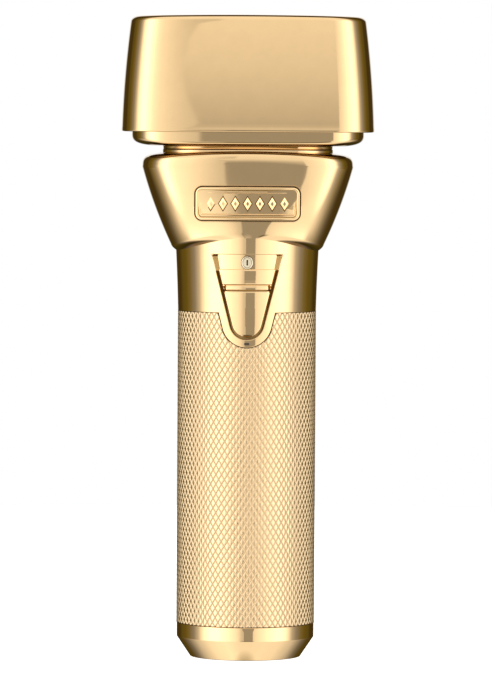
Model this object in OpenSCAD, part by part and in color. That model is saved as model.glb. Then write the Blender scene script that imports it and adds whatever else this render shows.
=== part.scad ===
// Foil shaver: knurled grip, flared housing, twin-foil head and protective cap.
// Millimetres. Origin at the centre of the end cap's bottom face, +Z up, switch on -Y.

/* [Grip] */
// Outside diameter of the knurled sleeve
grip_d = 34; // [33.6:0.1:34.4]
// Height of the joint between sleeve and housing collar
grip_top = 85.5; // [85:0.1:86]
// Height of the joint between end cap and sleeve
end_cap_top = 8.4; // [8:0.1:9]
// Foot radius left by the end cap's chamfer
foot_r = 13.5; // [13:0.1:14]

/* [Housing] */
// Half width of the housing at its widest
housing_half_w = 26; // [25.6:0.1:26.2]
// Half depth of the housing
housing_half_d = 17.8; // [17.7:0.1:18]
// Height of the deck that carries the head
deck_z = 124.2; // [124.1:0.1:124.3]
// Thickness of the die-cast walls
wall = 1.8; // [1.6:0.1:2]
// Nameplate width
badge_w = 26.1; // [24:0.1:27]
// Nameplate height
badge_h = 8.1; // [7.5:0.1:8.5]

/* [Switch] */
// Radius at the bottom of the switch recess
recess_r = 4.3; // [4.1:0.1:4.4]
// Side gap between the button and its recess
button_gap = 0.95; // [0.9:0.05:1.1]
// How far the button slides from off to on
switch_travel = 3.2; // [2.5:0.1:3.2]

/* [Head] */
// Half width of the head base
base_half_w = 28.6; // [28.4:0.1:28.7]
// Half depth of the head base
base_half_d = 16.5; // [16.3:0.1:16.6]
// Outside radius of each foil
foil_r = 5.6; // [5.4:0.1:5.6]
// Distance of each foil's centre line from the middle
foil_y = 5.9; // [5.8:0.1:5.9]
// Height of the foil crests
foil_crest = 154; // [153.8:0.1:154.2]
// Number of cutter blades under each foil
blade_count = 30; // [20:1:31]
// Throw of the eccentric
throw = 1; // [0.6:0.1:1]

/* [Cap] */
// Half width of the cap at its bottom edge
cap_half_w = 31.2; // [31:0.1:31.5]
// Half depth of the cap at its bottom edge
cap_half_d = 19; // [18.8:0.1:19.2]
// Height of the cap's bottom edge
cap_bottom = 129.4; // [129:0.1:129.6]
// Height of the cap's crown
cap_top = 158; // [157.8:0.1:158.4]

/* [Hidden] */

RING_N = 64;
VEE_STEPS = 20;
gold = "#f0c98c";
steel = "#c8c8cc";
black = "#1c1c1e";

grip_r = grip_d / 2;
sleeve_bore_r = grip_r - 1.5;
spigot_r = sleeve_bore_r - 0.1;
housing_bore_r = 14.2;
band_r = grip_r - 0.1;
chamfer_top = 5.1;
pin_root_r = 0.35;
collar_foot_r = grip_r + 0.05;
collar_top_r = 17.6;
collar_top = 104;
vee_angle = 14.3;
recess_zc = 83.1;
recess_top = 99.6;
recess_floor_r = 15.9;
tongue_r = recess_r + 1.9;
tongue_low = 76;
button_r = recess_r - button_gap;
button_top = 96;
led_z = 77.8;
badge_z = 112;
badge_curve_r = 52;
motor_y = 3;
motor_r = 10;
shaft_r = 1;
running_gap = 0.03;
board_front_y = -10.2;
board_back_y = -9;
battery_r = 9.15;
battery_y = 2;
chassis_inner_r = 13.9;
chassis_outer_r = 15.2;
chassis_low = end_cap_top + 3;
screw_r = 0.8;
base_bottom = 125.4;
base_top = 135;
base_floor = 127.4;
rod_y = 9;
rod_z = 131.05;
post_r = 1.8;
yoke_low = 129.9;
yoke_top = 134;
foil_zc = foil_crest - foil_r;
foil_half_l = 20.5;
blade_r = foil_r - 0.45;
blade_t = 0.35;
blade_half_l = 18.6;
latch_z = 132.5;
cap_wall = 1.6;

// ---- shared shapes ----

// One level of a lofted shell: a superellipse whose ends dip by crown.
function ring(a, b, e, z, crown = 0) = [
    for (i = [0 : RING_N - 1])
        let (
            t = 360 * i / RING_N,
            s = pow(pow(abs(cos(t)), e) + pow(abs(sin(t)), e), -1 / e)
        )
        [a * s * cos(t), b * s * sin(t), z - crown * pow(s * cos(t), 2)]
];

function skin_sides(m, closed) = [
    for (k = [0 : m - (closed ? 1 : 2)], i = [0 : RING_N - 1])
        let (
            low = k * RING_N,
            high = ((k + 1) % m) * RING_N,
            j = (i + 1) % RING_N
        )
        each [[low + i, high + i, high + j], [low + i, high + j, low + j]]
];

// Skin through rings, with a flat face on the first and the last.
module capped_skin(rings) {
    m = len(rings);
    first = [for (i = [0 : RING_N - 1]) i];
    last = [for (i = [RING_N - 1 : -1 : 0]) (m - 1) * RING_N + i];
    polyhedron([for (r = rings) each r], concat([first, last], skin_sides(m, false)), convexity = 6);
}

// Skin through rings that come back to the first one, as a tube wall does.
module looped_skin(rings) {
    polyhedron([for (r = rings) each r], skin_sides(len(rings), true), convexity = 8);
}

module tube(r, bore, z0, z1) {
    difference() {
        translate([0, 0, z0]) cylinder(h = z1 - z0, r = r, $fn = 96);
        translate([0, 0, z0 - 1]) cylinder(h = z1 - z0 + 2, r = bore, $fn = 96);
    }
}

module block(x0, x1, y0, y1, z0, z1) {
    translate([x0, y0, z0]) cube([x1 - x0, y1 - y0, z1 - z0]);
}

module rounded_2d(half_x, half_y, r) {
    square([2 * half_x, 2 * (half_y - r)], center = true);
    square([2 * (half_x - r), 2 * half_y], center = true);
    for (x = [-1, 1], y = [-1, 1]) {
        translate([x * (half_x - r), y * (half_y - r)]) circle(r = r, $fn = 48);
    }
}

// V outline with a round bottom, used by the recess, the tongue and the button.
module vee_2d(r, top) {
    tangent_z = recess_zc - r * sin(vee_angle);
    top_x = r * cos(vee_angle) + (top - tangent_z) * tan(vee_angle);
    bottom_arc = [
        for (k = [0 : VEE_STEPS])
            let (t = 180 + vee_angle + (180 - 2 * vee_angle) * k / VEE_STEPS)
            [r * cos(t), recess_zc + r * sin(t)]
    ];
    polygon(concat(bottom_arc, [[top_x, top], [-top_x, top]]));
}

// Stand a front-view outline up and run it from y0 to y1.
module front_prism(y0, y1) {
    translate([0, y1, 0]) rotate([90, 0, 0]) linear_extrude(y1 - y0) children();
}

// Run a side-view outline (Y, Z) from x0 to x1.
module side_prism(x0, x1) {
    translate([x0, 0, 0]) rotate([90, 0, 90]) linear_extrude(x1 - x0) children();
}

// Insulated wire through a list of points.
module wire(points, r = 0.5) {
    for (k = [0 : len(points) - 2]) {
        d = points[k + 1] - points[k];
        translate(points[k])
            rotate([0, acos(d[2] / norm(d)), atan2(d[1], d[0])])
                cylinder(h = norm(d), r = r, $fn = 24);
    }
    for (p = points) {
        translate(p) sphere(r = 1.06 * r, $fn = 24);
    }
}

// Screw whose head's underside is at the origin and whose shank points down.
module screw(shank, r, head_r, head_h) {
    difference() {
        union() {
            translate([0, 0, -shank]) cylinder(h = shank + 0.1, r = r, $fn = 32);
            cylinder(h = head_h, r = head_r, $fn = 32);
        }
        translate([-head_r, -0.2, head_h - 0.4]) cube([2 * head_r, 0.4, 1]);
    }
}

// ---- grip ----

module end_cap() {
    color(gold) difference() {
        rotate_extrude($fn = 96) difference() {
            polygon([
                [0, 0], [foot_r, 0], [band_r, chamfer_top], [band_r, end_cap_top],
                [sleeve_bore_r - 0.2, end_cap_top], [sleeve_bore_r - 0.2, chassis_low], [0, chassis_low]
            ]);
            translate([0, 2.4]) square([chassis_inner_r - 0.4, 20]);
            translate([14.4, 9.3]) square([3, 1.2]);
        }
        translate([0, 0, -1]) cylinder(h = 6, r = 3.9, $fn = 64);
        end_mark();
    }
}

// Small triangular mark cut into the chamfer, which shows where the cap locks.
module end_mark() {
    slope = atan((band_r - foot_r) / chamfer_top);
    translate([0, -(foot_r + band_r) / 2, chamfer_top / 2])
        rotate([90 - slope, 0, 0])
            translate([0, 0, -0.3]) linear_extrude(1) difference() {
                polygon([[-1.7, 1], [1.7, 1], [0, -1.6]]);
                polygon([[-1.15, 0.7], [1.15, 0.7], [0, -1.1]]);
            }
}

module end_seal() {
    color(black) rotate_extrude($fn = 96) translate([14.95, 9.9]) circle(r = 0.55, $fn = 24);
}

module charge_socket() {
    color(black) difference() {
        union() {
            tube(3.9, 2.75, 0.6, 10.6);
            translate([0, 0, 8]) cylinder(h = 2.6, r = 3.9, $fn = 64);
            translate([0, 0, 2.4]) tube(5.2, 3.8, 0, 1.2);
        }
        translate([0, 0, 7]) cylinder(h = 3.7, r = pin_root_r, $fn = 32);
    }
}

module socket_pin() {
    color(steel) union() {
        translate([0, 0, 2]) cylinder(h = 6, r = 0.65, $fn = 32);
        translate([0, 0, 7.9]) cylinder(h = 2.7, r = pin_root_r, $fn = 32);
    }
}

module grip_sleeve() {
    color(gold) difference() {
        tube(grip_r, sleeve_bore_r, end_cap_top, grip_top);
        front_prism(-20, -5) vee_2d(tongue_r + 0.1, grip_top + 1);
    }
}

// ---- chassis, power and electronics ----

module half_shell(side) {
    intersection() {
        tube(chassis_outer_r, chassis_inner_r, chassis_low, 74);
        translate([-20, side > 0 ? 0 : -40, 0]) cube([40, 40, 100]);
    }
}

module chassis_lugs(y0, y1) {
    difference() {
        for (s = [-1, 1], z = [26, 58]) {
            block(s > 0 ? 10.4 : -14.2, s > 0 ? 14.2 : -10.4, y0, y1, z, z + 6);
        }
        chassis_screw_places() translate([0, 0, -9]) cylinder(h = 18, r = screw_r, $fn = 32);
    }
}

module chassis_screw_places() {
    for (s = [-1, 1], z = [29, 61]) {
        translate([s * 12.2, -3, z]) rotate([90, 0, 0]) children();
    }
}

module chassis_front() {
    color(black) union() {
        half_shell(-1);
        chassis_lugs(-3, 0);
        for (s = [-1, 1]) {
            difference() {
                block(s > 0 ? 6.9 : -10.5, s > 0 ? 10.5 : -6.9, -10.8, -8.4, 20, 73);
                block(-7.5, 7.5, board_front_y, board_back_y, 10, 80);
            }
        }
    }
}

module chassis_rear() {
    color(black) union() {
        half_shell(1);
        chassis_lugs(0, 3);
        difference() {
            for (z = [15.7, 22, 40, 54, 70]) {
                intersection() {
                    translate([0, 0, z]) cylinder(h = 2, r = 14.5, $fn = 96);
                    translate([-20, 0, z]) cube([40, 40, 2]);
                }
            }
            translate([0, battery_y, 17.7]) cylinder(h = 51.6, r = battery_r, $fn = 64);
        }
    }
}

module chassis_screws() {
    color(steel) chassis_screw_places() screw(5.6, screw_r, 1.5, 1);
}

module battery() {
    color("#3f6fae") translate([0, battery_y, 18]) union() {
        cylinder(h = 50, r = battery_r, $fn = 64);
        translate([0, 0, 50]) cylinder(h = 1, r = 3.2, $fn = 32);
    }
}

module battery_tabs() {
    color(steel) union() {
        block(-3, 3, -6, 6, 17.7, 18);
        block(-3, 3, -2, 6, 69, 69.3);
    }
}

module battery_leads() {
    color("firebrick") wire([[2, -1, 69.85], [2, -7, 70.8], [2, -8.5, 73.5]]);
    color("firebrick") wire([[-2, -5.5, 17.15], [-2, -8.5, 17.3], [-2, -8.5, 23]]);
}

module jack_leads() {
    for (s = [-1, 1]) {
        color("dimgray") wire([[s * 1.8, 0, 11.1], [s * 4.6, -8.2, 15], [s * 4.6, -8.5, 24]]);
    }
}

module motor_leads() {
    for (s = [-1, 1]) {
        color("gold") wire([[s * 4.6, -8.5, 70], [s * 4.6, -6.2, 75.5], [s * 4.6, -1, 75.5]]);
    }
}

module circuit_board() {
    color("darkgreen") block(-7.5, 7.5, board_front_y, board_back_y, 20, 98);
}

module board_components() {
    face = board_front_y;
    color(black) union() {
        block(-3, 3, face - 1.4, face, 40, 46);
        block(-2.2, 2.2, face - 1.2, face, 52, 56);
        for (k = [0 : 5]) {
            block(-5.8, -4.2, face - 0.6, face, 34 + 5 * k, 34.8 + 5 * k);
            block(4.2, 5.8, face - 0.6, face, 35 + 5 * k, 35.8 + 5 * k);
        }
        translate([0, face, 64]) rotate([90, 0, 0]) cylinder(h = 2.4, r = 3, $fn = 48);
        translate([0, face, 30]) rotate([90, 0, 0]) cylinder(h = 2, r = 2.4, $fn = 48);
    }
}

module led() {
    color("white") block(-0.9, 0.9, board_front_y - 1.2, board_front_y, led_z - 0.6, led_z + 0.6);
}

module light_pipe() {
    y0 = -(grip_r - 0.1);
    color("lightgreen") block(-0.68, 0.68, y0, board_front_y - 1.3, led_z - 0.3, led_z + 0.3);
}

// ---- switch ----

module slide_switch() {
    color(steel) difference() {
        block(-3.4, 3.4, -12.2, board_front_y, 84.6, 95.6);
        block(-1, 1, -13, -11.2, 87.9, 88.2 + 1.6 + switch_travel + 0.3);
    }
}

module switch_lever() {
    color("white") block(-0.8, 0.8, -12.4, -11.4, 88.2, 89.8);
}

module switch_shuttle() {
    color(black) union() {
        block(-3.6, 3.6, -13.2, -12.4, 85.6, 92.6);
        block(-1, 1, -15.4, -13.2, 88, 91);
    }
}

module button_shell(inset, r0, r1, z0, z1) {
    intersection() {
        front_prism(-20, -5) vee_2d(button_r - inset, button_top);
        tube(r1, r0, z0, z1);
    }
}

module switch_button() {
    ledge = 92.2;
    bar_low = 90.8;
    color(gold) union() {
        button_shell(0, recess_floor_r + 0.1, 16.7, 70, ledge);
        button_shell(0, recess_floor_r + 0.1, 16.4, ledge - 0.1, button_top);
        button_shell(0.3, 16.5, 17.9, bar_low, ledge);
        block(-1, 1, -16.3, -15.4, 88, 91);
    }
}

// ---- housing ----

// Half width of the flare at fraction u of its height, slightly bowed out.
function flare_w(u) = 18.15 + (housing_half_w - 0.05 - 18.15) * (1.28 * u - 0.28 * u * u);
function flare_d(u) = 17.75 + (housing_half_d - 17.75) * u;

// Flared shell: up the outside, over the crowned rim and down the inside.
function flare_rings() = concat(
    [
        for (k = [0 : 7])
            let (u = k / 7)
            ring(flare_w(u), flare_d(u), 2 + u, 103.6 + 18.2 * u, 2.9 - 1.8 * u)
    ],
    [
        ring(housing_half_w - 0.1, housing_half_d - 0.1, 3, 123.2, 1.2),
        ring(housing_half_w - 0.4, housing_half_d - 0.4, 3, 124, 1.2),
        ring(housing_half_w - 1, housing_half_d - 1, 3, 124.5, 1.1),
        ring(21.8, 14.6, 3.4, deck_z),
        ring(12, 8.5, 3, deck_z),
        ring(12, 8.5, 3, deck_z - 2.2),
        ring(housing_half_w - 2.4, housing_half_d - 2.2, 3, 121.6)
    ],
    [
        for (k = [6 : -1 : 0])
            let (u = k / 7)
            ring(flare_w(u) - wall, flare_d(u) - wall, 2 + u, 103.6 + 18.2 * u, 2.9 - 1.8 * u)
    ]
);

// Turned collar with the spigot that enters the sleeve.
module collar() {
    rotate_extrude($fn = 96) polygon([
        [housing_bore_r, 78], [spigot_r, 78], [spigot_r, grip_top], [collar_foot_r, grip_top],
        [collar_top_r, collar_top], [housing_bore_r, collar_top]
    ]);
}

module tongue() {
    intersection() {
        front_prism(-20, -5) vee_2d(tongue_r, grip_top);
        difference() {
            translate([0, 0, tongue_low])
                cylinder(h = grip_top - tongue_low, r1 = grip_r, r2 = collar_foot_r, $fn = 96);
            cylinder(h = 200, r = housing_bore_r + 0.6, $fn = 96);
        }
    }
}

module badge_outline(grow) {
    translate([0, badge_z]) rounded_2d(badge_w / 2 + grow, badge_h / 2 + grow, 1.7 + grow);
}

// Vertical cylinder that the nameplate bends round.
module badge_form(r) {
    translate([0, badge_curve_r - housing_half_d, 90]) cylinder(h = 40, r = r, $fn = 256);
}

module upper_housing() {
    color(gold) difference() {
        union() {
            looped_skin(flare_rings());
            collar();
            tongue();
            for (s = [-1, 1]) {
                translate([s * 15, 0, 97]) cylinder(h = 7, r = 2.2, $fn = 48);
            }
        }
        difference() {
            front_prism(-20, -5) vee_2d(recess_r, recess_top);
            cylinder(h = 200, r = recess_floor_r, $fn = 96);
        }
        block(-1.25, 1.25, -17, -12, 87.6, 91.4 + switch_travel);
        difference() {
            front_prism(-20, -5) badge_outline(0.15);
            badge_form(badge_curve_r - 0.9);
        }
        block(-0.7, 0.7, -18, -12, led_z - 0.32, led_z + 0.32);
        for (s = [-1, 1]) {
            translate([s * 15, 0, 98]) cylinder(h = 7, r = screw_r, $fn = 32);
        }
        head_screw_places() translate([0, 0, -6]) cylinder(h = 5, r = 0.9, $fn = 32);
    }
}

module badge() {
    color(gold) difference() {
        intersection() {
            front_prism(-20, -10) badge_outline(0);
            difference() {
                badge_form(badge_curve_r + 0.55);
                badge_form(badge_curve_r - 0.9);
            }
        }
        difference() {
            front_prism(-20, -10) badge_outline(-0.9);
            badge_form(badge_curve_r + 0.05);
        }
    }
}

module badge_studs() {
    color(gold) intersection() {
        for (k = [-3 : 3]) {
            translate([3 * k, 0, 0]) front_prism(-20, -10) polygon([
                [-1.05, badge_z], [0, badge_z - 1.7], [1.05, badge_z], [0, badge_z + 1.7]
            ]);
        }
        difference() {
            badge_form(badge_curve_r + 0.45);
            badge_form(badge_curve_r + 0.05);
        }
    }
}

// ---- motor ----

module at_motor() {
    translate([0, motor_y, 0]) children();
}

module motor_can() {
    color(steel) at_motor() difference() {
        translate([0, 0, 78]) cylinder(h = 26, r = motor_r, $fn = 96);
        translate([0, 0, 77]) cylinder(h = 26.2, r = 9.2, $fn = 96);
        translate([0, 0, 77]) cylinder(h = 30, r = 2, $fn = 48);
        for (s = [-1, 1]) {
            translate([s * 5.5, 0, 100]) cylinder(h = 6, r = screw_r, $fn = 32);
        }
    }
}

module motor_magnets() {
    color("#303238") at_motor() difference() {
        tube(9.2, 7.9, 82, 99);
        block(-20, 20, -2, 2, 80, 101);
    }
}

module motor_endbell() {
    color(black) at_motor() tube(9.9, 2, 76, 78);
}

module motor_bushes() {
    color("#b08850") at_motor() {
        tube(2, shaft_r + running_gap, 75.2, 78);
        tube(2, shaft_r + running_gap, 103.2, 105.6);
    }
}

module motor_damper() {
    color(black) at_motor() tube(10.9, motor_r, 84, 90);
}

module motor_bracket() {
    color(steel) difference() {
        intersection() {
            translate([0, 0, 104]) cylinder(h = 2, r = 17.3, $fn = 96);
            block(-18, 18, -8, 12, 104, 106);
        }
        at_motor() translate([0, 0, 103]) cylinder(h = 4, r = 3, $fn = 48);
        for (x = [-15, 15]) {
            translate([x, 0, 103]) cylinder(h = 4, r = screw_r, $fn = 32);
        }
        for (x = [-5.5, 5.5]) {
            translate([x, motor_y, 103]) cylinder(h = 4, r = screw_r, $fn = 32);
        }
    }
}

module motor_screws() {
    color(steel) for (s = [-1, 1]) {
        translate([s * 15, 0, 106]) screw(7, screw_r, 1.5, 1.1);
        translate([s * 5.5, motor_y, 106]) screw(2.7, screw_r, 1.5, 1.1);
    }
}

module motor_shaft() {
    color(steel) at_motor() translate([0, 0, 74.6]) cylinder(h = 54.3, r = shaft_r, $fn = 48);
}

module rotor_core() {
    color("#8a5a3c") at_motor() difference() {
        tube(7.4, shaft_r, 81.6, 99.6);
        for (k = [0 : 4]) {
            rotate([0, 0, 72 * k]) block(5, 9, -0.5, 0.5, 80, 101);
        }
    }
}

module commutator() {
    color("#c07840") at_motor() tube(2.4, shaft_r, 78.6, 81.6);
}

module eccentric_cam() {
    color(steel) at_motor() union() {
        tube(4, shaft_r, base_floor + 0.5, 129);
        translate([0, 0, 128.9]) cylinder(h = 0.8, r = 4, $fn = 64);
        translate([0, throw, 129.6]) cylinder(h = 2.4, r = shaft_r, $fn = 48);
    }
}

// ---- head base and drive ----

module head_screw_places() {
    for (x = [-16, 16], y = [-8, 8]) {
        translate([x, y, base_floor]) children();
    }
}

module neck_plate(grow, z0, z1) {
    difference() {
        translate([0, 0, z0]) linear_extrude(z1 - z0) difference() {
            rounded_2d(21 + grow, 13.8 + grow, 9 + grow);
            rounded_2d(12, 8.5, 5);
        }
        head_screw_places() translate([0, 0, -8]) cylinder(h = 8, r = 0.9, $fn = 32);
    }
}

module neck_collar() {
    color(gold) neck_plate(0, deck_z, 125);
}

module neck_gasket() {
    color(black) neck_plate(-0.5, 125, base_bottom);
}

function base_rings() = [
    ring(20.6, 13.4, 4, base_bottom),
    ring(22.6, 14.4, 4.2, base_bottom + 0.2),
    ring(base_half_w - 2, base_half_d - 1.6, 5, 126.4),
    ring(base_half_w - 0.8, base_half_d - 0.7, 5, 126.9),
    ring(base_half_w - 0.2, base_half_d - 0.2, 5, 127.6),
    ring(base_half_w, base_half_d, 5, 128.4),
    ring(base_half_w, base_half_d, 5, base_top),
    ring(base_half_w - 1.6, base_half_d - 1.6, 5, base_top),
    ring(base_half_w - 1.6, base_half_d - 1.6, 5, base_floor)
];

module head_base() {
    color(gold) difference() {
        union() {
            capped_skin(base_rings());
            for (s = [-1, 1]) {
                block(s > 0 ? 20 : -22, s > 0 ? 22 : -20, -11.5, 11.5, base_floor - 0.2, 134);
            }
        }
        at_motor() translate([0, 0, 124]) cylinder(h = 6, r = 2.2, $fn = 48);
        head_screw_places() translate([0, 0, -4]) cylinder(h = 6, r = 0.9, $fn = 32);
        for (y = [-rod_y, rod_y]) {
            translate([-22.5, y, rod_z]) rotate([0, 90, 0]) cylinder(h = 45, r = 1, $fn = 32);
        }
        for (s = [-1, 1]) {
            block(s > 0 ? 25.5 : -30, s > 0 ? 30 : -25.5, -4.2, 4.2, latch_z - 1.9, base_top + 1);
        }
    }
}

module head_screws() {
    color(steel) head_screw_places() screw(4.6, 0.9, 1.8, 1);
}

module guide_rods() {
    color(steel) for (y = [-rod_y, rod_y]) {
        translate([-22, y, rod_z]) rotate([0, 90, 0]) cylinder(h = 44, r = 1, $fn = 32);
    }
}

module oscillator() {
    slot_x = shaft_r + 2 * throw + 0.2;
    slot_y = shaft_r + throw + 0.3;
    color("whitesmoke") difference() {
        union() {
            block(-13, 13, -11, 11, yoke_low, yoke_top);
            for (y = [-foil_y, foil_y]) {
                translate([0, y, yoke_top - 0.5]) cylinder(h = 8.1, r = post_r, $fn = 48);
            }
        }
        block(-slot_x, slot_x, motor_y - slot_y, motor_y + slot_y, yoke_low - 1, 132.3);
        for (y = [-rod_y, rod_y]) {
            translate([-14, y, rod_z]) rotate([0, 90, 0])
                cylinder(h = 28, r = 1 + running_gap, $fn = 32);
        }
    }
}

// ---- cutters ----

module cutter_carrier(y) {
    color(black) translate([0, y, 0]) difference() {
        union() {
            block(-19, 19, -4.9, 4.9, 141, 145.6);
            translate([0, 0, 137.4]) cylinder(h = 4, r = 3.6, $fn = 48);
        }
        translate([0, 0, 137]) cylinder(h = 6.2, r = post_r + 0.05, $fn = 48);
        for (s = [-1, 1]) {
            block(s > 0 ? 5 : -17, s > 0 ? 17 : -5, -3, 3, 140, 144.4);
        }
    }
}

module cutter_blades(y) {
    gap = (2 * blade_half_l - blade_t) / (blade_count - 1);
    color(steel) translate([0, y, 0]) union() {
        for (k = [0 : blade_count - 1]) {
            x0 = -blade_half_l + gap * k;
            side_prism(x0, x0 + blade_t) difference() {
                translate([0, foil_zc]) circle(r = blade_r, $fn = 64);
                translate([0, foil_zc]) circle(r = blade_r - 1.2, $fn = 64);
                translate([-10, foil_zc - 20]) square([20, 20]);
            }
            for (s = [-1, 1]) {
                edge = blade_r - 1.2;
                block(x0, x0 + blade_t, s > 0 ? edge : -blade_r, s > 0 ? blade_r : -edge, 145.6, foil_zc);
            }
        }
        for (s = [-1, 1]) {
            edge = blade_r - 1.2;
            block(-blade_half_l, blade_half_l, s > 0 ? edge : -blade_r, s > 0 ? blade_r : -edge, 145.6, 146.4);
        }
    }
}

module cutter_spring(y) {
    color(steel) translate([0, y, 0]) tube(2.9, 2.1, yoke_top, 137.4);
}

module cutter_carrier_front() { cutter_carrier(-foil_y); }
module cutter_carrier_rear() { cutter_carrier(foil_y); }
module cutter_blades_front() { cutter_blades(-foil_y); }
module cutter_blades_rear() { cutter_blades(foil_y); }
module cutter_spring_front() { cutter_spring(-foil_y); }
module cutter_spring_rear() { cutter_spring(foil_y); }

// ---- foil head ----

module foil_frame() {
    color(black) difference() {
        union() {
            difference() {
                union() {
                    translate([0, 0, base_top]) linear_extrude(13.6) rounded_2d(27.4, 15.2, 9);
                    translate([0, 0, base_top]) linear_extrude(14.6) rounded_2d(26.4, 14.2, 8);
                }
                block(-22.75, 22.75, -11.8, 11.8, 130, 152);
            }
            for (s = [-1, 1]) {
                block(s > 0 ? 19.8 : -23, s > 0 ? 23 : -19.8, -12, 12, 136, 137.5);
            }
        }
        for (s = [-1, 1]) {
            block(s > 0 ? 24 : -26.7, s > 0 ? 26.7 : -24, -3.2, 3.2, 134, 138.6);
        }
    }
}

module foil_arch_2d(r, low) {
    intersection() {
        translate([0, foil_zc]) circle(r = r, $fn = 96);
        translate([-r, foil_zc - 1]) square([2 * r, r + 2]);
    }
    translate([-r, low]) square([2 * r, foil_zc - low]);
}

module foil_carrier(y) {
    half_y = foil_r + 0.15;
    color(black) translate([0, y, 0]) union() {
        for (s = [-1, 1]) {
            side_prism(s > 0 ? foil_half_l : -22.5, s > 0 ? 22.5 : -foil_half_l)
                foil_arch_2d(foil_r, 142.5);
        }
        difference() {
            block(-22.5, 22.5, -half_y, half_y, 142.5, 144);
            block(-foil_half_l, foil_half_l, -5.25, 5.25, 142, 145);
        }
    }
}

module foil(y) {
    color(steel) translate([0, y, 0]) difference() {
        side_prism(-foil_half_l, foil_half_l) foil_arch_2d(foil_r, 144);
        side_prism(-foil_half_l - 1, foil_half_l + 1) foil_arch_2d(foil_r - 0.2, 143);
    }
}

module foil_springs(y) {
    color(steel) for (x = [-21.4, 21.4]) {
        translate([x, y, 0]) tube(1.3, 0.9, 137.5, 142.5);
    }
}

module foil_carrier_front() { foil_carrier(-foil_y); }
module foil_carrier_rear() { foil_carrier(foil_y); }
module foil_front() { foil(-foil_y); }
module foil_rear() { foil(foil_y); }
module foil_springs_front() { foil_springs(-foil_y); }
module foil_springs_rear() { foil_springs(foil_y); }

// ---- release buttons ----

module release_button() {
    color(black) union() {
        difference() {
            block(24.9, 28.9, -4, 4, latch_z - 1.7, latch_z + 1.7);
            block(24, 27.7, -2.6, 2.6, latch_z - 1, latch_z + 1);
        }
        block(25.6, 26.4, -2.6, 2.6, latch_z + 1.6, 137.8);
    }
}

module release_spring() {
    color(steel) translate([22, 0, latch_z]) rotate([0, 90, 0]) tube(0.9, 0.6, 0, 5.7);
}

module release_button_right() { release_button(); }
module release_spring_right() { release_spring(); }
module release_button_left() { mirror([1, 0, 0]) release_button(); }
module release_spring_left() { mirror([1, 0, 0]) release_spring(); }

// ---- cap ----

// Half width of the cap above its bottom edge: a gentle arc that draws in upwards.
function cap_draw(h) = 0.026 * h + 0.00215 * h * h;

function cap_ring(inset, h) = ring(
    cap_half_w - cap_draw(h) - inset,
    cap_half_d - cap_draw(h) - inset,
    5,
    cap_bottom + h
);

function cap_rings() = let (
    height = cap_top - cap_bottom,
    side_h = height - 1.6,
    a = cap_half_w - cap_draw(side_h),
    b = cap_half_d - cap_draw(side_h),
    lid = cap_top - cap_wall
) concat(
    [
        ring(a - 14, b - 12, 3, lid, 0.1),
        ring(a - 3.4, b - 3.4, 5, lid - 0.1, 0.6),
        ring(a - cap_wall, b - cap_wall, 5, lid - 1.4, 0.6)
    ],
    [for (k = [4 : -1 : 0]) cap_ring(cap_wall, side_h * k / 5.4)],
    [for (k = [0 : 5]) cap_ring(0, side_h * k / 5)],
    [
        ring(a - 0.3, b - 0.3, 5, cap_top - 0.6, 0.6),
        ring(a - 1.2, b - 1.2, 5, cap_top - 0.1, 0.7),
        ring(a - 14, b - 12, 3, cap_top, 0.1)
    ]
);

module protective_cap() {
    color(gold) capped_skin(cap_rings());
}

end_cap();
end_seal();
charge_socket();
socket_pin();
grip_sleeve();
chassis_front();
chassis_rear();
chassis_screws();
battery();
battery_tabs();
battery_leads();
jack_leads();
motor_leads();
circuit_board();
board_components();
slide_switch();
led();
light_pipe();
switch_button();
switch_shuttle();
switch_lever();
upper_housing();
badge();
badge_studs();
motor_can();
motor_magnets();
motor_endbell();
motor_bushes();
motor_damper();
motor_bracket();
motor_screws();
motor_shaft();
rotor_core();
commutator();
eccentric_cam();
neck_collar();
neck_gasket();
head_base();
head_screws();
guide_rods();
oscillator();
cutter_carrier_front();
cutter_blades_front();
cutter_spring_front();
cutter_carrier_rear();
cutter_blades_rear();
cutter_spring_rear();
foil_frame();
foil_carrier_front();
foil_front();
foil_springs_front();
foil_carrier_rear();
foil_rear();
foil_springs_rear();
release_button_left();
release_spring_left();
release_button_right();
release_spring_right();
protective_cap();
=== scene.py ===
"""Looks of the foil shaver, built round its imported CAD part. Lengths in the code are millimetres."""
import math

import bpy
import numpy as np
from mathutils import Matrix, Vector, geometry
from mathutils.bvhtree import BVHTree


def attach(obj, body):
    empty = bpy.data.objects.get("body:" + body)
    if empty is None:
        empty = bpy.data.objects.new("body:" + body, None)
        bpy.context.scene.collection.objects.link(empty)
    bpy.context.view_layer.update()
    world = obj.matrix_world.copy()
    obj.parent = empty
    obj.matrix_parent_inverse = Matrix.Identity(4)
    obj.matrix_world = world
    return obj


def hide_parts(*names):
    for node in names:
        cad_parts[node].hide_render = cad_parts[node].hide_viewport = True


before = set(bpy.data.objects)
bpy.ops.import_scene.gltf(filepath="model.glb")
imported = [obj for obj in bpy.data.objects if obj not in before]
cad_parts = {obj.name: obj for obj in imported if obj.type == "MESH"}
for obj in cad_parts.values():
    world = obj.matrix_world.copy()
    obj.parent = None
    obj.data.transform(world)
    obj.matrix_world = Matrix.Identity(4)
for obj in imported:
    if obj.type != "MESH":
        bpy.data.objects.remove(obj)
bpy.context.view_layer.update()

MM = 0.001
COLS = 384
QUARTER = COLS // 4


# ---------------------------------------------------------------- materials

def new_material(name):
    """An empty material: itself, its node tree and its shader."""
    m = bpy.data.materials.new(name)
    m.use_nodes = True
    tree = m.node_tree
    tree.nodes.clear()
    out = tree.nodes.new("ShaderNodeOutputMaterial")
    bsdf = tree.nodes.new("ShaderNodeBsdfPrincipled")
    tree.links.new(bsdf.outputs["BSDF"], out.inputs["Surface"])
    return m, tree, bsdf


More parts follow.
